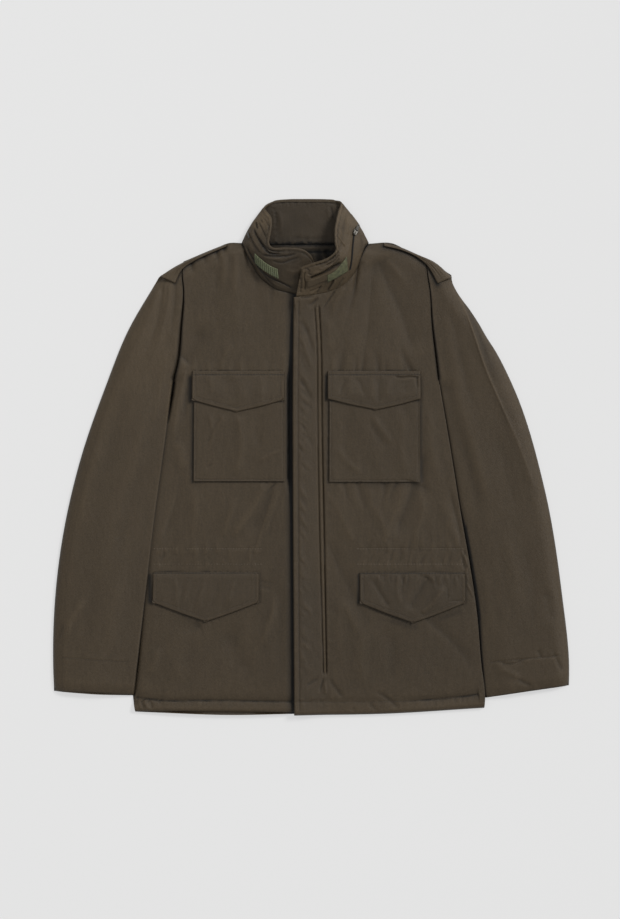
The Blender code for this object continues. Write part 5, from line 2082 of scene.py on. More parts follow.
FLAPS = (
    FlapCut(
        level=Level.CHEST, side=RIGHT,
        left=-190, right=-43, top=137, side_y=91, tip=(-118, 72), lifted=2.2,
        relief=Relief(
            Crumple(0.35, 34, 14, 88, 61),
            Fold(((-160, 132), (-158, 98)), 0.5, 7.0),
            Fold(((-126, 132), (-122, 84)), -0.4, 9.0),
            Fold(((-76, 132), (-80, 92)), 0.4, 8.0),
            strength=1.7,
        ),
    ),
    FlapCut(
        level=Level.CHEST, side=LEFT,
        left=26.8, right=175, top=137, side_y=92.5, tip=(104, 75), lifted=2.4,
        relief=Relief(
            Crumple(0.25, 34, 13, 92, 62),
            Fold(((58, 129), (52, 116), (45, 98)), -0.5, 3.6),
            Fold(((66, 130), (63, 112), (62, 94)), 0.4, 5.0),
            Fold(((72, 128), (80, 114), (86, 96)), -0.5, 3.4),
            Fold(((96, 130), (98, 110), (94, 88)), 0.4, 5.0),
            Fold(((110, 128), (108, 110), (108, 84)), -0.5, 4.0),
            Fold(((128, 130), (122, 112), (120, 92)), 0.5, 5.0),
            Fold(((150, 126), (150, 112), (152, 99)), -0.4, 7.0),
            Fold(((130, 129), (144, 127), (158, 128), (171, 126.5)), -1.2, 1.5, fade=(0.2, 0.0)),
            Fold(((168, 126), (169, 116), (169, 106)), -0.9, 1.5, fade=(0.0, 0.6)),
            strength=1.5,
        ),
    ),
    FlapCut(
        level=Level.HIP, side=RIGHT,
        left=-253, right=-83.5, top=-184, side_y=-232, tip=(-168, -263), lifted=1.9,
        relief=Relief(
            Crumple(0.4, 40, 15, 96, 63),
            Fold(((-220, -190), (-214, -212), (-218, -238)), 0.6, 4.0),
            Fold(((-196, -190), (-198, -214), (-206, -240)), 0.7, 4.0),
            Fold(((-168, -188), (-174, -216), (-180, -252)), 0.7, 3.0),
            Fold(((-148, -196), (-152, -220), (-162, -244)), -0.6, 5.0),
            Fold(((-118, -192), (-128, -214), (-134, -240)), 0.6, 3.0),
            Fold(((-176, -214), (-182, -236), (-184, -252)), 0.6, 2.0),
            strength=0.8,
        ),
    ),
    FlapCut(
        level=Level.HIP, side=LEFT,
        left=78, right=246, top=-184.5, side_y=-233, tip=(163, -265), lifted=2.0,
        relief=Relief(
            Crumple(0.4, 40, 15, 84, 64),
            Fold(((95, -192), (108, -214), (127, -242)), -0.9, 4.6, sharp=1.4, fade=(0.2, 0.2)),
            Fold(((188, -190), (172, -216), (155, -246)), -1.7, 8.0, left=1.2, sharp=1.3, fade=(0.1, 0.2)),
            Fold(((214, -204), (198, -228), (176, -250)), 1.2, 4.0, sharp=1.4, fade=(0.2, 0.1)),
            Fold(((140, -188), (138, -212), (146, -240)), 0.7, 5.0),
            Puckers(((240, -186), (84, -186)), 8.0, 30.0, -0.6, 2.2, 0.0, 77, (0.3, 0.7)),
            Puckers(((236, -186), (88, -186)), 11.0, 40.0, 0.5, 2.6, 0.0, 78, (0.3, 0.7)),
            Fold(((218, -206), (218, -230)), -0.4, 1.4),
            Fold(((218, -230), (245, -229)), -0.4, 1.4),
            strength=1.25,
        ),
    ),
)


@dataclass
class Pockets(Jacket):
    """The two bag pockets and the four flaps."""

    body: Body
    bag_up: float = 2.3
    chest_up: float = 4.0
    hip_up: float = 2.0
    bag_rim: tuple[float, float] = (2.4, 1.6)  # how far this edge sinks, and how wide its curve is
    flap_rim: tuple[float, float] = (1.9, 1.7)
    seam_in: float = 2.6  # from a bag's edge in to its stitches

    def build(self) -> None:
        """Builds every pocket and flap."""
        for cut in POCKETS:
            self.build_bag(cut)
        for cut in FLAPS:
            self.build_flap(cut)

    def build_bag(self, cut: PocketCut) -> None:
        """Lays one bag, sewn down on three sides.

        Args:
            cut: its place.
        """
        low = (cut.left - cut.spread, cut.bottom), (cut.right + cut.spread, cut.bottom)
        high = (cut.left, cut.top), (cut.right, cut.top)
        plan = Outline(Track(low), Track(high), Track([low[0], high[0]]), Track([low[1], high[1]]))
        edges = Track([high[0], low[0]], low, [low[1], high[1]])
        seams = self._seams(cut)
        wide, tall = plan.bottom.length, plan.start.length

        def height(x: Array, y: Array) -> Array:
            """Works out the bag's height.

            Args:
                x: places along X.
                y: places along Y.

            Returns:
                The height at each place, in millimetres.
            """
            gap = edges.away(x, y, 500)
            dip, soft = self.bag_rim
            z = self.body.surface(cut.side, x, y) + self.bag_up - dip * (1 - rounded(gap / soft))
            z += 0.8 * eased(gap / 26)
            for seam in seams:
                z += Fold(seam, -0.3, 1.1, fade=FULL).lift(x, y)
            return z + cut.relief.lift(x, y) * eased((gap - 1) / 12)

        us = stations(wide, 1.7, 0.8, (0, 8), (wide - 8, math.inf))
        vs = stations(tall, 1.7, 0.8, (0, 8))
        grid = plan.grid(us, vs)
        x, y = grid[..., 0], grid[..., 1]
        word = cut.side.word
        flap = next(flap for flap in FLAPS if flap.side is cut.side and flap.level is Level.CHEST)
        # painted shadow under the flap's pointed edge, and a painted darker tone over the bag
        below = Track(*flap.legs(drop=2)).away(x, y, 400)
        painted_shading = 0.5 * bell(below / 2.4) + (0.045 if cut.side is LEFT else 0.02)
        node = f"pocket_chest_{word}"
        threads = self.sew(f"{node}_stitches", [follow(seam, height) for seam in seams])
        face = raised(grid, height(x, y))
        self.lay(node, face, 0.8, [f"front_{word}_cloth"], painted_shading, with_pieces=[threads])

    def _seams(self, cut: PocketCut) -> list[Points]:
        """Sets out the bag's three rows of stitches.

        Args:
            cut: its place.

        Returns:
            The ends of each row.
        """
        left, right = cut.left + self.seam_in, cut.right - self.seam_in
        foot, head = cut.bottom + self.seam_in, cut.top - 2
        line = [(left, head), (left - cut.spread, foot), (right + cut.spread, foot), (right, head)]
        return list(zip(line, line[1:]))

    def build_flap(self, cut: FlapCut) -> None:
        """Lays one flap, sewn along its top, its pointed edge lifted.

        Args:
            cut: its place.
        """
        chest = cut.level is Level.CHEST
        lean = 1.5 if cut.side is RIGHT else -1.0
        low = (cut.left, cut.side_y), (cut.right, cut.side_y)
        high = (cut.left + lean * 0.4, cut.top), (cut.right + lean * 0.2, cut.top + 0.4)
        start, end = Track([low[0], high[0]]), Track([low[1], high[1]])
        bows = [self._bowed(corner, cut.tip) for corner in low]
        bottom = Track([low[0], bows[0], cut.tip], [cut.tip, bows[1], low[1]])
        tip = int(np.argmin(bottom.line[:, 1]))
        plan = Outline(bottom, Track(high), start, end)
        free = Track(start.line[::-1], bottom.line[: tip + 1], bottom.line[tip:], end.line)
        up = self.chest_up if chest else self.hip_up
        *rows, top_row = self._stitch_rows(cut, 6.0 if chest else 1.6)

        def height(x: Array, y: Array) -> Array:
            """Works out the flap's height.

            Args:
                x: places along X.
                y: places along Y.

            Returns:
                The height at each place, in millimetres.
            """
            gap = free.away(x, y)
            down = np.clip((cut.top - y) / (cut.top - cut.tip[1]), 0.0, 1.0)
            z = self.body.height(cut.side, x, y) + up + cut.lifted * eased(down * 1.5)
            dip, soft = self.flap_rim
            rim, seam = 1 - rounded(gap / soft), 1 - rounded((cut.top + 0.3 - y) / 0.9)
            z -= dip * rim + 0.7 * (1 - eased((cut.top - y) / 9)) + seam
            for row in rows:
                z += Fold(row, -0.16, 1.1, fade=FULL).lift(x, y)
            z += Fold(top_row, -0.55, 1.2, fade=FULL).lift(x, y) * (0.65 + 0.35 * np.sin(x * 1.15))
            return z + cut.relief.lift(x, y) * eased((gap + 1) / 6)

        us = stations(bottom.length, 1.5, 0.7, (0, 9), (bottom.length - 9, math.inf))
        vs = stations(start.length, 1.2, 0.7, (0, 9), (start.length - 9, math.inf))
        grid = plan.grid(us, vs)
        x, y = grid[..., 0], grid[..., 1]
        face = raised(grid, height(x, y))
        # darker along the row under the top seam, in dashes: partly the seam's own dark line, partly painted
        # shade in its groove; and a painted darker tone over the flap
        level, bold = (6.0, 0.40 + 0.25 * np.sin(x * 0.11)) if chest else (1.2, 0.30 + 0.2 * np.sin(x * 0.09))
        painted_shading = bold * bell(y - cut.top + level) * (0.65 + 0.35 * np.sin(x * 1.5)) + (0.03 if chest else 0.08)
        painted_shading = painted_shading + (0.05 if cut.side is LEFT else 0.0)
        threads = self.sew(f"{cut.name}_stitches", [follow(row, height) for row in rows])
        line, thread = [follow(top_row, height)], self.wardrobe.dark_thread
        dashes = self.sew(f"{cut.name}_top_stitches", line, thread, TOP_STITCH)
        word = cut.side.word
        rests = [f"pocket_chest_{word}_cloth"] if chest else [f"front_{word}_cloth"]
        self.lay(cut.name, face, 1.1, rests, painted_shading, with_pieces=[threads, dashes])

    @staticmethod
    def _bowed(corner: Spot, tip: Spot, share: float = 0.52) -> Spot:
        """Returns a place on a flap's slanted edge, bowed a little outwards."""
        x, y = (a + (b - a) * share for a, b in zip(corner, tip))
        return (x, y - 0.9)

    @staticmethod
    def _stitch_rows(cut: FlapCut, down: float, by: float = 6.0) -> list[Points]:
        """Sets out the flap's rows of stitches.

        Args:
            cut: its place.
            down: how far below its top seam the last row is.
            by: how far inside its free edge the others are.

        Returns:
            The ends of each row.
        """
        drop = cut.side_y - cut.tip[1]
        slopes = drop / (cut.tip[0] - cut.left), drop / (cut.right - cut.tip[0])
        left = (cut.left + by, cut.side_y + by - slopes[0] * by * 0.6)
        right = (cut.right - by, cut.side_y + by - slopes[1] * by * 0.6)
        point, head, high = (cut.tip[0], cut.tip[1] + by * 1.06), cut.top - 1, cut.top - down
        line = [(left[0], head), left, point, right, (right[0], head)]
        return [*zip(line, line[1:]), ((cut.left + 1, high), (cut.right - 1, high + 0.4))]


# ---- collar ----------------------------------------------------------------------------------

# Sections from the under end (right front) round the back to the over end: the place at the neck
# seam, the place at the rim, and how far the face swells between them.
RIBS: Points = (
    (4, 256, 8.0, 6, 309, 24, 0.5),
    (-14, 256.5, 8.6, 0, 322, 29, 1.5),
    (-31, 261, 9.6, -14, 332, 33, 3.0),
    (-55, 267, 10.4, -39, 334.5, 36, 5.0),
    (-79, 285, 11.2, -61, 334.5, 37, 5.0),
    (-94.5, 308.5, 12.0, -68.5, 344, 36, 5.0),
    (-103.5, 325, 12.2, -65.5, 361, 33, 4.0),
    (-108.5, 337.5, 11, -64, 383, 25, 4.0),
    (-111.0, 342.5, 5, -75, 400, 11, 3.0),
    (-104, 341.0, 0, -60, 409.5, 0, 0.0),
    (-74, 340.2, 0, -36, 412.3, 0, 0.0),
    (-30, 340.2, 0, -15, 412.6, 0, 0.0),
    (14, 340.2, 0, 8, 412.6, 0, 0.0),
    (54, 340.2, 0, 26, 412.2, 0, 0.0),
    (85, 341.1, 0, 38, 411.2, 0, 0.0),
    (92.5, 342.5, 6, 48.5, 408, 10, 3.0),
    (87, 336.5, 12, 43.5, 391, 22, 3.5),
    (80.5, 318.5, 12.4, 39, 366, 33, 4.0),
    (71, 296, 12.4, 39.5, 347, 38, 5.0),
    (58.5, 279.5, 12.4, 41.5, 333, 41, 5.0),
    (43.5, 269.5, 12.6, 34, 322.5, 42, 4.0),
    (22, 262.5, 13.6, 20, 315, 42, 3.0),
    (-3, 258, 16.2, 0, 309, 41, 1.5),
    (-24, 256, 16.6, -14.5, 304, 38, 0.5),
)
LIES_FROM, LIES_TO = 8.6, 14.6  # the sections that lie flat
OUTER_RISES = np.array([0.0, 0.012, 0.03, *np.linspace(0.05, 1.0, 46)])  # where the outer wall's rows are

COLLAR_FACE = Relief(
    Crumple(0.35, 24, 9, 10, 71),
    # wearer's right: long layered creases along the rim
    Fold(((-88.4, 376), (-87.6, 371), (-86, 364)), -3.2, 1.5, fade=(0.2, 0.3)),
    Fold(
        (
            (-91.5, 367), (-88.5, 356.5), (-83, 346.8), (-75.8, 334.8),
            (-68.6, 327), (-60, 324.4), (-44.5, 325.4),
        ),
        -3.4, 1.4, sharp=1.6, fade=(0.1, 0.2),
    ),
    Fold(((-96, 362), (-91, 346), (-82, 331.5), (-74, 322.6)), 1.2, 1.9, fade=(0.2, 0.3)),
    Fold(((-84.6, 352), (-78, 341), (-70, 333), (-58, 329), (-40, 328.6)), -1.6, 1.1, fade=(0.1, 0.2)),
    Fold(((-97, 355), (-93, 344), (-87, 334), (-80, 326)), -1.2, 1.1, fade=(0.2, 0.3)),
    Fold(
        ((-80.6, 324), (-62.5, 320.8), (-49.3, 320.8), (-32.4, 322.6), (-21.5, 327.5)),
        -2.2, 1.2, sharp=1.6, fade=(0.15, 0.15),
    ),
    Fold(((-78, 319), (-60, 316.8), (-44, 317.2)), 1.1, 1.9),
    Fold(((-64, 314), (-46.9, 310.6), (-32.4, 315), (-18, 320.3)), -1.5, 1.3, fade=(0.2, 0.1)),
    Fold(((-33.6, 308.2), (-24, 312.6), (-15.5, 318)), -0.8, 0.9, fade=(0.1, 0.0)),
    # streaks down the turned rim
    Fold(((-77, 384), (-70, 373), (-65.4, 361)), -1.4, 1.0, fade=(0.2, 0.3)),
    Fold(((-82, 382), (-74.5, 369), (-68.6, 356)), -1.6, 1.1, fade=(0.2, 0.3)),
    Fold(((-84.4, 376), (-77, 361), (-70, 347)), -1.9, 1.1, fade=(0.2, 0.3)),
    Fold(((-80, 378), (-72, 364), (-67, 352)), 1.4, 1.2, fade=(0.2, 0.3)),
    Fold(((-76, 392), (-68, 384), (-64.6, 372)), 0.8, 2.0, fade=(0.2, 0.3)),
    # along the foot
    Fold(
        (
            (-104.7, 340), (-98.7, 327.5), (-91.5, 315), (-86, 306),
            (-77, 295.4), (-60, 284.6), (-44.5, 277.4), (-30, 270.4),
        ),
        -2.4, 1.0, sharp=1.7, fade=(0.1, 0.02),
    ),
    Fold(((-106, 334), (-97, 317), (-88, 304)), 0.9, 1.5),
    Fold(((-84, 300), (-75, 291), (-67, 281), (-56, 272)), -1.4, 0.9, fade=(0.2, 0.2)),
    Fold(((-72, 284), (-56, 275), (-36, 267)), 0.8, 1.8),
    Fold(((-99, 346), (-96, 336), (-90, 326)), 1.0, 2.2),
    Fold(((-44, 300), (-30, 296), (-14, 298)), 0.6, 3.0),
    Fold(((-20, 306), (-12, 296), (-10, 280)), 0.9, 2.8),
    # wearer's left: nested lines under the rim
    Fold(((3.8, 305.6), (24, 311), (34, 317), (42, 324)), -1.5, 1.1, fade=(0.2, 0.1)),
    Fold(((22, 305), (37.8, 314.6), (45.6, 324)), -2.0, 0.9, fade=(0.2, 0.1)),
    Fold(((26, 314), (36, 320.6), (41, 327)), -1.2, 0.8, fade=(0.2, 0.1)),
    Fold(((28, 301.6), (39, 309.6), (46, 318)), -1.6, 1.0, fade=(0.2, 0.1)),
    Fold(((10, 300), (26, 304), (36, 309)), 1.3, 1.7, fade=(0.2, 0.2)),
    # over the tab
    Fold(
        ((-3, 285.4), (7.6, 288.8), (15, 292.2), (25, 297.6), (35, 302.9), (44, 308.4), (50, 312.0)),
        -4.8, 1.6, fade=(0.08, 0.15),
    ),
    Fold(((2, 293), (16, 297), (26, 301.6)), 1.2, 2.0),
    # the crinkled front end
    Fold(((-9.5, 297), (-11, 286), (-8.8, 278), (-10, 266)), -2.0, 1.2, fade=(0.1, 0.1)),
    Fold(((-15, 300), (-17, 290), (-15.6, 276), (-18, 262)), -1.2, 1.1, fade=(0.1, 0.1)),
    Fold(((-8, 301), (-3, 298), (-4, 293), (2, 291)), -1.5, 1.1, fade=(0.1, 0.1)),
    Fold(((-13, 294), (-12, 284), (-13.6, 270)), 0.9, 1.4),
    Puckers(((-20, 300), (-20, 262)), 5.5, 9.0, -0.9, 1.0, 0.0, 79, (0.3, 0.4)),
    # under the tab
    Fold(((-3, 264.6), (8, 268.4), (20, 273.4)), -1.3, 0.9, fade=(0.1, 0.3)),
    Fold(((16.6, 274), (12, 267), (8, 260.6)), -1.7, 1.1, fade=(0.1, 0.2)),
    Fold(((36.6, 284), (32.8, 276.4), (25, 264)), -2.8, 1.2, fade=(0.05, 0.2)),
    Fold(((39, 283), (35.6, 275), (29, 265)), 1.2, 1.5, fade=(0.05, 0.3)),
    Fold(((52.9, 288), (45, 276), (38, 266)), -1.2, 1.6, fade=(0.2, 0.2)),
    Fold(((12, 270), (3, 262), (-4, 257)), 0.9, 1.6),
    # up the side
    Fold(((30, 312), (44, 328), (49.6, 348), (52, 370), (57, 392)), -0.9, 1.7, fade=(0.1, 0.1)),
    Fold(((56.8, 384), (58, 368), (56.8, 352)), 1.4, 2.0),
    Fold(((42.8, 354), (49, 345), (54.4, 336.6)), 1.9, 1.1, fade=(0.2, 0.2)),
    Fold(((48, 404), (47, 390), (42.6, 372)), 1.2, 1.6, fade=(0.1, 0.3)),
    Fold(((64, 392), (72, 380), (80, 366)), 1.2, 2.2, fade=(0.2, 0.3)),
    Fold(((40, 340), (43, 332), (46, 326)), 1.2, 1.1, fade=(0.2, 0.2)),
    Fold(((44, 364), (48, 357), (51, 351)), 1.0, 1.2, fade=(0.2, 0.3)),
    Fold(((55, 318), (61, 336), (63, 358)), 0.7, 2.6),
    Fold(((80, 322), (82, 340), (80, 356)), -0.8, 2.2),
    Fold(((70, 372), (76, 362), (84, 352)), 0.9, 2.8),
)
COLLAR_INSIDE = Relief(
    Crumple(0.4, 26, 13, 0, 72),
    Fold(((32, 402), (34, 390), (38, 378)), -1.2, 2.2),
    Fold(((26, 402), (28, 388), (31, 374)), 1.0, 3.0),
    Fold(((-60, 400), (-56, 384), (-57, 366)), -1.0, 2.4),
    Fold(((-52, 396), (-48, 376), (-50, 356)), 0.9, 3.6),
    Fold(((-40, 352), (0, 349), (34, 352)), -0.6, 3.0),
    Fold(((-20, 396), (0, 380), (24, 368)), 0.5, 9.0),
    Fold(((-66, 404.6), (-30, 407.2), (20, 407), (42, 404)), -0.9, 1.2, fade=(0.05, 0.05)),
    Puckers(((56, 341), (-62, 341)), 5.0, 12.0, -1.3, 1.5, 0.0, 73),
    Puckers(((-62, 342), (56, 342)), 8.0, 26.0, 0.7, 2.6, 0.0, 74),
    Puckers(((40, 409), (-60, 409)), 7.0, 14.0, -0.8, 1.9, 0.0, 75),
    Puckers(((-64, 405), (-60, 372), (-60, 340)), 7.0, 14.0, 0.7, 2.2, 0.0, 76),
)


@dataclass(frozen=True)
class TrimCut:
    """A flat piece on the collar, by where its corners are seen and how far its long edges bow."""

    low: tuple[Spot, Spot]  # the lower edge's two ends
    high: tuple[Spot, Spot]  # the upper edge's two ends
    bow: tuple[float, float]  # how far the lower and the upper edge sag between their ends
    start: tuple[float, float]  # a section and a rise inside the piece

    def grid(self, columns: int, rows: int) -> tuple[Array, Array]:
        """Spreads a grid over the piece.

        Args:
            columns: how many places there are along its long edges.
            rows: how many there are across.

        Returns:
            Where they are seen, along X and along Y.
        """
        u, v = np.meshgrid(np.linspace(0, 1, columns), np.linspace(0, 1, rows), indexing="ij")
        low, high = (
            np.array(one)[:, None, None] * (1 - u) + np.array(other)[:, None, None] * u
            for one, other in (self.low, self.high)
        )
        x, y = low * (1 - v) + high * v
        return x, y - 4 * u * (1 - u) * (self.bow[0] * (1 - v) + self.bow[1] * v)


@dataclass
class Collar(Jacket):
    """The stand collar with its patches, its tab and the zip round its foot."""

    wall: float = 1.1
    both: float = 3.2  # from the outer face through to the inner one
    loop_cut: TrimCut = TrimCut(
        low=((-51.7, 285.3), (-89.7, 309.5)),
        high=((-53.5, 301), (-89.7, 326.3)),
        bow=(1.4, 3.5),
        start=(4.4, 0.33),
    )
    tab_cut: TrimCut = TrimCut(
        low=((55.5, 296.4), (-6.9, 270.6)),
        high=((56, 311.0), (-6.3, 282.4)),
        bow=(0.8, 1.5),
        start=(20.4, 0.4),
    )
    hook_cut: TrimCut = TrimCut(
        low=((58.4, 298), (26.0, 280.2)),
        high=((55.4, 321.4), (26.0, 292.0)),
        bow=(0.4, 5.4),
        start=(19.6, 0.4),
    )
    end_cut: TrimCut = TrimCut(
        low=((-99.8, 350.4), (-97.2, 350.4)),
        high=((-102.4, 358.4), (-99.4, 358.8)),
        bow=(0.0, 0.0),
        start=(7.6, 0.23),
    )
    zip_run: Points = ((15.85, 0.42), (16.4, 0.43), (17.0, 0.39), (17.7, 0.33), (18.4, 0.24))
    zip_half: float = 1.3
    eye: float = 4084.0  # how far up the collar is seen from
    slider_at: Spot = (71.5, 359.0)
    seam_down: float = 3.6  # from the rim down to the groove under it
    seam_wide: float = 1.1
    stitch_inset: float = 0.075  # how far below the rim its stitches are, as a share of the collar

    def __post_init__(self) -> None:
        """Readies the table of sections, with room for the rolled rim and for the nearness of its height."""
        self.ribs = np.array(RIBS, float)
        up = self.ribs[:, 3:6] - self.ribs[:, :3]
        up /= np.linalg.norm(up, axis=1, keepdims=True)
        self.ribs[:, 3:6] -= self.both / 2 * up
        for low in (0, 3):
            self.ribs[:, low : low + 2] *= 1 - self.ribs[:, low + 2 : low + 3] / self.eye
        self.ribs[9:15, 5] = 0.0
        self.high = np.linalg.norm(self.ribs[:, 3:6] - self.ribs[:, :3], axis=1)

    def _flat(self, sections: Array, rises: Array) -> Array:
        """Finds places on the face without its swell or creases.

        Args:
            sections: which section of the collar each place is at.
            rises: how far up the collar it is.

        Returns:
            The places.
        """
        rows = hermite(self.ribs, sections.ravel()).reshape(*sections.shape, 7)
        laid = (sections > LIES_FROM) & (sections < LIES_TO)
        lifts = rows[..., [2, 5, 6]]
        rows[..., [2, 5, 6]] = np.where(laid[..., None], np.maximum(lifts, 0.0), lifts)
        share = rises[..., None]
        return (1 - share) * rows[..., :3] + share * rows[..., 3:6]

    @staticmethod
    def _shown(out: Array) -> Array:
        """Returns the share of the creases that shows, by how far the face is turned up."""
        return np.clip(out[..., 2] * 4, 0, 1)

    def _along(self, sections: Array, values: Array) -> Array:
        """Returns the values between the sections."""
        return np.interp(sections, np.arange(len(RIBS)), values)

    def frame_at(self, sections: Array, rises: Array) -> tuple[Array, Array, Array]:
        """Finds places on the collar's outer face.

        Args:
            sections: which section of the collar each place is at.
            rises: how far up the collar it is, from 0 at the seam to 1 at the rim.

        Returns:
            The places, the unit ways out of the face and the unit ways up it.
        """
        flat, swell, out, up = self._swollen(sections, rises)
        seen, shown = self._seen(flat + swell[..., None] * out), self._shown(out)
        below = (1 - rises) * self._along(sections, self.high)
        marks = COLLAR_FACE.lift(seen[..., 0], seen[..., 1]) * shown
        marks *= eased(rises / 0.06) * eased((1.02 - rises) / 0.05)
        marks -= shown * 0.75 * bell((below - self.seam_down) / self.seam_wide)
        wave = np.sin(sections * 15.0 + 1.5 * np.sin(sections * 4.1))
        marks += shown * 0.35 * wave * bell((below - 3.0) / 3.6)
        return flat + (swell + marks)[..., None] * out, out, up

    def _seen(self, place: Array) -> Array:
        """Returns where places are seen from above."""
        return place[..., :2] / (1 - place[..., 2:] / self.eye)

    def _swollen(self, sections: Array, rises: Array) -> tuple[Array, Array, Array, Array]:
        """Finds places on the face without its creases.

        Args:
            sections: which section of the collar each place is at.
            rises: how far up the collar it is.

        Returns:
            The places before the face swells, its swell, the ways out of it and the ways up it.
        """
        flat = self._flat(sections, rises)
        step = 0.05
        ahead = self._flat(np.minimum(sections + step, len(RIBS) - 1), rises)
        behind = self._flat(np.maximum(sections - step, 0.0), rises)
        up = self._flat(sections, np.ones_like(rises)) - self._flat(sections, np.zeros_like(rises))
        up /= np.linalg.norm(up, axis=-1, keepdims=True)
        out = np.cross(up, ahead - behind)
        out /= np.linalg.norm(out, axis=-1, keepdims=True)
        return flat, 4 * rises * (1 - rises) * self._along(sections, self.ribs[:, 6]), out, up

    def find(self, x: Array, y: Array, start: tuple[float, float]) -> tuple[Array, Array]:
        """Finds which places on the outer face are seen at given places from above.

        Args:
            x: the places along X.
            y: the places along Y.
            start: the section and the rise to search from.

        Returns:
            The sections and the rises.
        """
        sections, rises = np.full(x.shape, start[0]), np.full(x.shape, start[1])

        def seen(at: Array, up: Array) -> Array:
            """Returns where a place on the face is seen."""
            flat, swell, out, _ = self._swollen(at, up)
            return self._seen(flat + swell[..., None] * out)

        for _ in range(14):
            here = seen(sections, rises)
            along = (seen(sections + 0.02, rises) - here) / 0.02
            upward = (seen(sections, rises + 0.01) - here) / 0.01
            gap_x, gap_y = x - here[..., 0], y - here[..., 1]
            turn = along[..., 0] * upward[..., 1] - along[..., 1] * upward[..., 0]
            onward = (gap_x * upward[..., 1] - gap_y * upward[..., 0]) / turn
            higher = (gap_y * along[..., 0] - gap_x * along[..., 1]) / turn
            sections = sections + np.clip(onward, -0.4, 0.4)
            rises = np.clip(rises + np.clip(higher, -0.1, 0.1), 0.03, 0.95)
        return sections, rises

    def painted_shade(self, sections: Array, rises: Array) -> Array:
        """Works out the painted shade on the outer face in its creases and at its foot, with painted light
        along its rim and on parts of its face.

        Args:
            sections: which section of the collar each place is at.
            rises: how far up the collar it is.

        Returns:
            The share of its colour that the painted shade takes away at each place; below zero it is painted
            light.
        """
        place, out, _ = self.frame_at(sections, rises)
        seen, shown = self._seen(place), self._shown(out)
        marks = COLLAR_FACE.lift(seen[..., 0], seen[..., 1]) * shown
        below = (1 - rises) * self._along(sections, self.high)
        # painted shade in the groove under the rim, in the creases and at the foot
        rim = 0.30 * bell((below - self.seam_down) / self.seam_wide)
        foot = np.interp(sections, [0, 9, 14, 17, 18.5, 19.5, 23], [0.95, 0.95, 0.8, 0.9, 0.35, 0.1, 0.15])
        dark = np.clip(-0.32 * marks, -0.12, 0.9) + shown * (rim + foot * bell(rises / 0.024))
        # painted tone along the collar: darker on the wearer's right, lighter on the left
        levels = [1, 3, 5, 6, 8, 9, 15, 15.6, 18, 19, 23]
        tones = [0.16, 0.25, 0.22, 0.07, 0.0, 0.0, 0.0, -0.22, -0.22, -0.14, -0.18]
        dark += shown * np.interp(sections, levels, tones)
        # painted light on parts of the face, and a painted highlight along the rim
        dark -= 0.20 * shown * eased((sections - 18.4) / 0.8) * (1 - eased((rises - 0.28) / 0.14))
        dark -= 0.60 * shown * bell((sections - 7.3) / 0.9) * eased((rises - 0.4) / 0.2)
        edge = np.interp(sections, [14, 15, 18, 20, 23], [0.0, 0.40, 0.40, 0.25, 0.25])
        dark -= shown * edge * bell(below / 2.2)
        dark -= 0.30 * shown * bell((sections - 15.6) / 0.5) * eased((rises - 0.2) / 0.3)
        dark -= 0.14 * shown * eased((sections - 21.2) / 0.5)
        # painted shadow round the zip's slider
        slider = np.hypot(place[..., 0] - self.slider_at[0], place[..., 1] - self.slider_at[1])
        dark += 0.55 * np.exp(-((slider / 6.5) ** 4)) * shown
        return np.clip(dark, -0.7, DARKEST)

    def outer_rows(self, sections: Array) -> tuple[Array, Array]:
        """Sets out the outer wall, from the neck seam up and over the rim.

        Args:
            sections: which sections its columns are at.

        Returns:
            The points of its face and of its back.
        """
        grid_s, grid_r = np.meshgrid(sections, OUTER_RISES, indexing="ij")
        face, out, up = self.frame_at(grid_s, grid_r)
        face[..., 2] -= 2.2 * (1 - eased(grid_r / 0.04))
        radius = self.both / 2
        way, rise = out[:, -1], up[:, -1]
        core = face[:, -1] - radius * way
        faces, backs = [face], [face - self.wall * out]
        for turn in np.radians([25, 50, 75, 100, 125, 150, 180]):
            ray = math.cos(turn) * way + math.sin(turn) * rise
            faces.append((core + radius * ray)[:, None])
            backs.append((core + (radius - self.wall) * ray)[:, None])
        for drop in (1.2, 2.4, 3.4):
            faces.append((core - radius * way - drop * rise)[:, None])
            backs.append((core - (radius - self.wall) * way - drop * rise)[:, None])
        return np.concatenate(faces, axis=1), np.concatenate(backs, axis=1)

    def build(self) -> None:
        """Builds the collar and all that is on it."""
        self._build_outer()
        self._build_lining()
        loop = self._build_patch("loop_patch", self.loop_cut, (0.35, 1.3), Finish.LOOP, "collar_outer_cloth")
        self._dress_loop(loop)
        self._build_patch("collar_tab", self.tab_cut, (0.35, 1.9), Finish.SHELL, "collar_outer_cloth")
        self._build_patch("hook_patch", self.hook_cut, (2.0, 3.1), Finish.HOOK, "collar_tab_cloth")
        self._build_zip()

    @staticmethod
    def _columns(*spans: tuple[float, float, int]) -> Array:
        """Returns the sections of a grid's columns, by each span's start, stop and count."""
        parts = [np.linspace(start, stop, count, endpoint=False) for start, stop, count in spans]
        return np.concatenate([*parts, [spans[-1][1]]])

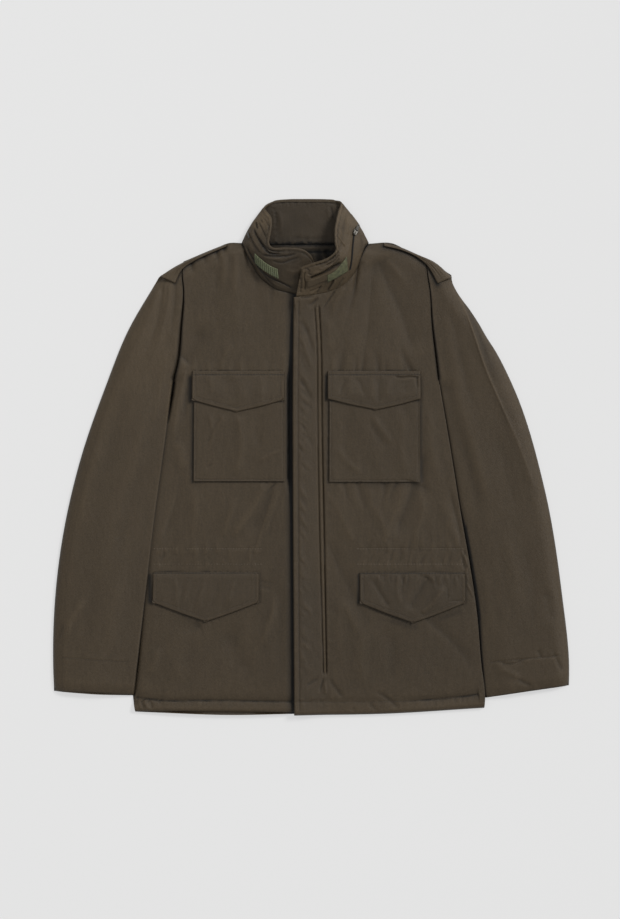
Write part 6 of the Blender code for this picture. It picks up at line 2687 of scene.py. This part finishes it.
    def _build_outer(self) -> None:
        """Lays the outer wall, rolled over the rim, with its stitches."""
        sections = self._columns((0, 2.6, 24), (2.6, 8.6, 84), (8.6, 14.6, 40), (14.6, 23, 160))
        face, back = self.outer_rows(sections)
        for grid in (face, back):
            grid[..., 2] = np.maximum(grid[..., 2], 0.08)
        back[..., 2] = np.maximum(back[..., 2], np.where(face[..., 2] < 0.5, 0.6, 0.0))
        painted_shading = self.painted_shade(*np.meshgrid(sections, OUTER_RISES, indexing="ij"))
        painted_shading = np.concatenate([painted_shading, np.zeros((len(sections), face.shape[1] - len(OUTER_RISES)))], axis=1)
        outer = grid_mesh("collar_outer_cloth", face, back, self.wardrobe.cloth[Finish.SHELL], painted_shading)
        rests = ["front_left_cloth", "front_right_cloth", "back_cloth"]
        rows = [self._edge_line(14.9, 22.9), self._edge_line(2.6, 8.2)]
        threads = self.sew("collar_outer_stitches", rows)
        self.lay("collar_outer", face, self.wall, rests, piece=outer, with_pieces=[threads])

    def _build_lining(self) -> None:
        """Lays the lining wall inside the outer one."""
        last = len(RIBS) - 1
        sections = self._columns((0, 8.4, 90), (8.4, 15.4, 130), (15.4, last, 90))
        grid_s, grid_r = np.meshgrid(sections, np.linspace(0.0, 0.975, 56), indexing="ij")
        place, out, _ = self.frame_at(grid_s, grid_r)
        x, y = place[..., 0], place[..., 1]
        marks = COLLAR_INSIDE.lift(x, y) * np.clip(-out[..., 2] * 3, 0, 1)
        ends = eased(grid_s / 0.08) * eased((last - grid_s) / 0.08)
        near = place - (self.both - 0.25 * (1 - ends) - 0.1)[..., None] * out - marks[..., None] * out
        far = place - (self.wall + 0.35) * out
        near[..., 2] = np.maximum(near[..., 2], 0.9)
        far[..., 2] = np.maximum(far[..., 2], 0.45)
        # painted shade on the lining: dark at its foot and in its creases, a ragged dark band low on its back
        # part, darker near section 8.6 and lighter near section 14.2
        painted_shading = 0.45 * (1 - eased(grid_r / 0.22)) + np.clip(-0.40 * marks, -0.14, 0.6)
        ragged = 0.03 + 0.025 * np.sin(x * 0.9 + 2 * np.sin(x * 0.31)) + 0.015 * np.sin(x * 2.3)
        painted_shading = np.maximum(painted_shading, 0.9 * (1 - eased((grid_r - ragged) / 0.02)) * (np.abs(grid_s - 11.6) < 3))
        painted_shading += 0.20 * bell((grid_s - 8.6) / 1.1) - 0.16 * bell(grid_s - 14.2)
        lining = grid_mesh("collar_inner_cloth", near[::-1], far[::-1], self.wardrobe.inside, painted_shading[::-1])
        self.lay("collar_inner", near, self.wall, ["collar_outer_cloth"], piece=lining)

    def _edge_line(self, first: float, last: float) -> Line:
        """Sets out a line for stitches below the rim.

        Args:
            first: the section that it starts at.
            last: the section that it stops at.

        Returns:
            The line.
        """
        sections = np.linspace(first, last, 160)
        place, out, _ = self.frame_at(sections, np.full_like(sections, 1.0) - self.stitch_inset)
        return place + 0.1 * out, out

    def _build_patch(
        self,
        node: str,
        cut: TrimCut,
        lift: tuple[float, float],
        finish: Finish,
        rests: str,
    ) -> Line:
        """Lays a flat piece on the collar.

        Args:
            node: the solid that it stands for.
            cut: where it lies.
            lift: how far its underside and its face are off the collar.
            finish: its finish.
            rests: what it lies on.

        Returns:
            Its face and the ways out of it.
        """
        place, out, _ = self.frame_at(*self.find(*cut.grid(60, 26), cut.start))
        u, v = np.linspace(0, 1, 60)[:, None], np.linspace(0, 1, 26)[None, :]
        edge = np.minimum(np.minimum(u, 1 - u) * 38, np.minimum(v, 1 - v) * 15)
        high = lift[0] + 0.25 + (lift[1] - lift[0] - 0.25) * rounded(edge / 1.2)
        face, back = place + high[..., None] * out, place + lift[0] * out
        # painted light: the tab's shell cloth is drawn a little lighter
        painted_shading = np.full(face.shape[:2], -0.16) if finish is Finish.SHELL else None
        piece = grid_mesh(f"{node}_cloth", face, back, self.wardrobe.cloth[finish], painted_shading)
        self.lay(node, face, 1.0, [rests], piece=piece, finish=finish)
        return face, out

    def _dress_loop(self, patch: Line) -> None:
        """Sets the loop patch's upright ribs on it.

        Args:
            patch: its face and the ways out of it.
        """
        face, out = patch
        columns = range(2, 58, 5)
        lines = [(face[k, 1:-1] + 0.05 * out[k, 1:-1], out[k, 1:-1]) for k in columns]
        tree = RowTree("rib_row", block_shape)
        ribs = tree.run("loop_patch_ribs", lines, RowSizes(1.0, 1.05, 2.1, 1.1, 3), self.wardrobe.rib)
        self.adopt(ribs, Finish.LOOP, [])

    def _build_zip(self) -> None:
        """Lays the zip's tape and teeth, and its end stop on the other side."""
        run = np.array(self.zip_run)
        sections = np.linspace(*run[[0, -1], 0], 150)
        place, out, _ = self.frame_at(sections, np.interp(sections, *run.T))
        across = np.cross(out, np.gradient(place, axis=0))
        across /= np.linalg.norm(across, axis=-1, keepdims=True)
        offsets = np.linspace(-1, 1, 7)
        lift = 0.9 + 0.5 * (1 - np.abs(offsets)) ** 0.5
        aside = offsets[None, :, None] * self.zip_half * across[:, None]
        face = place[:, None] + aside + lift[None, :, None] * out[:, None]
        dark = self.wardrobe.cloth[Finish.TAPE]
        tape = grid_mesh("zip_tape_cloth", face, face - 0.7 * out[:, None], dark)
        teeth = RowTree("tooth_row", block_shape)
        coil = teeth.run("zip_teeth", [(place + 1.3 * out, out)], RowSizes(1.3, 0.7, 1.5, 0.5, 5), dark)
        self.adopt(coil, Finish.TAPE, [])
        self.adopt(tape, Finish.TAPE, ["zip_tape"])
        place, out, _ = self.frame_at(*self.find(*self.end_cut.grid(10, 12), self.end_cut.start))
        metal = self.wardrobe.cloth[Finish.METAL]
        stop = grid_mesh("zip_end_stop", place + 1.7 * out, place + 0.4 * out, metal)
        self.adopt(stop, Finish.METAL, ["zip_end"])


# ---- metal, floor, light and camera ----------------------------------------------------------


@dataclass
class Slider(Jacket):
    """The zip's slider and pull, which stay as they are made and only take a better finish."""

    edge: float = 0.18

    def build(self) -> None:
        """Gives the slider and the pull their finish and softly broken edges."""
        for piece in (bpy.data.objects["zip_slider"], bpy.data.objects["zip_pull"]):
            for place in piece.material_slots:
                place.material = self.wardrobe.cloth[Finish.METAL]
            bevel = piece.modifiers.new("edges", "BEVEL")
            bevel.width = self.edge * MM
            bevel.segments = 2
            bevel.limit_method = "ANGLE"


@dataclass(frozen=True)
class Studio:
    """A pale floor, one broad light from the upper right and a soft fill from all round."""

    middle: Spot = (-1.6, -4.0)
    picture_high: float = 1470.4
    lens: float = 100.0
    sensor: float = 36.0
    floor_glow: float = 0.56
    floor_colour: float = 0.228
    key_turn: float = 50.0  # degrees round from +Y towards +X
    key_up: float = 38.0
    key_power: float = 2.22
    key_soft: float = 17.0
    fill: float = 0.475
    side_power: float = 5.0
    side_size: float = 1.2  # metres, as are the next two
    side_at: tuple[float, float, float] = (-1.1, 1.1, 1.7)
    floor_half: float = 6.0
    warm: Colour = (1.0, 0.985, 0.96)
    cool: Colour = (0.97, 0.985, 1.0)

    def build(self) -> None:
        """Builds the floor, the lights and the camera."""
        self._floor()
        self._lights()
        self._camera()

    def _floor(self) -> None:
        """Lays the floor."""
        bench = Bench("pale_floor")
        bench.dress(
            Base_Color=tinted((1.0, 1.0, 1.0), self.floor_colour),
            Roughness=0.95,
            Specular_IOR_Level=0.0,
            Emission_Color=(1.0, 1.0, 1.0, 1.0),
            Emission_Strength=self.floor_glow,
        )
        mesh = bpy.data.meshes.new("floor")
        side = self.floor_half
        corners = [(x * side, y * side, 0) for x, y in ((-1, -1), (1, -1), (1, 1), (-1, 1))]
        mesh.from_pydata(corners, [], [(0, 1, 2, 3)])
        link("floor", mesh, bench.material)

    def _lights(self) -> None:
        """Sets the key light, a weaker one at the side and the fill."""
        sun = bpy.data.lights.new("key", "SUN")
        sun.energy = self.key_power
        sun.angle = math.radians(self.key_soft)
        sun.color = self.warm
        turn, up = math.radians(self.key_turn), math.radians(self.key_up)
        self._aim("key", sun, (math.sin(turn) * math.cos(up), math.cos(turn) * math.cos(up), math.sin(up)))
        panel = bpy.data.lights.new("side", "AREA")
        panel.energy, panel.size = self.side_power, self.side_size
        self._aim("side", panel, self.side_at).location = self.side_at
        world = bpy.data.worlds.new("soft_room")
        world.use_nodes = True
        background = world.node_tree.nodes["Background"].inputs
        background["Color"].default_value = tinted(self.cool, 1.0)
        background["Strength"].default_value = self.fill
        bpy.context.scene.world = world

    @staticmethod
    def _aim(name: str, light: bpy.types.Light, ray: tuple[float, float, float]) -> bpy.types.Object:
        """Puts a light in the scene, turned to shine from this way towards the middle.

        Args:
            name: the new object's name.
            light: the light.
            ray: the way that it shines from.

        Returns:
            The new object.
        """
        lamp = bpy.data.objects.new(name, light)
        lamp.rotation_euler = Vector(ray).to_track_quat("Z", "Y").to_euler()
        bpy.context.scene.collection.objects.link(lamp)
        return lamp

    def _camera(self) -> None:
        """Sets the camera straight above the jacket."""
        data = bpy.data.cameras.new("above")
        data.lens = self.lens
        data.sensor_width = self.sensor
        data.clip_end = 50.0
        camera = bpy.data.objects.new("above", data)
        x, y = self.middle
        camera.location = (x * MM, y * MM, self.lens / self.sensor * self.picture_high * MM)
        bpy.context.scene.collection.objects.link(camera)
        bpy.context.scene.camera = camera
        bpy.context.scene.view_settings.view_transform = "Standard"


def main() -> None:
    """Builds the whole scene."""
    logging.basicConfig(level=logging.INFO, format="%(message)s")
    wardrobe = Wardrobe()
    Studio().build()
    body = Body(wardrobe)
    body.build()
    for side in (RIGHT, LEFT):
        Sleeve(wardrobe, side, body).build()
    Pockets(wardrobe, body).build()
    Collar(wardrobe).build()
    Slider(wardrobe).build()


if __name__ == "__main__":
    main()
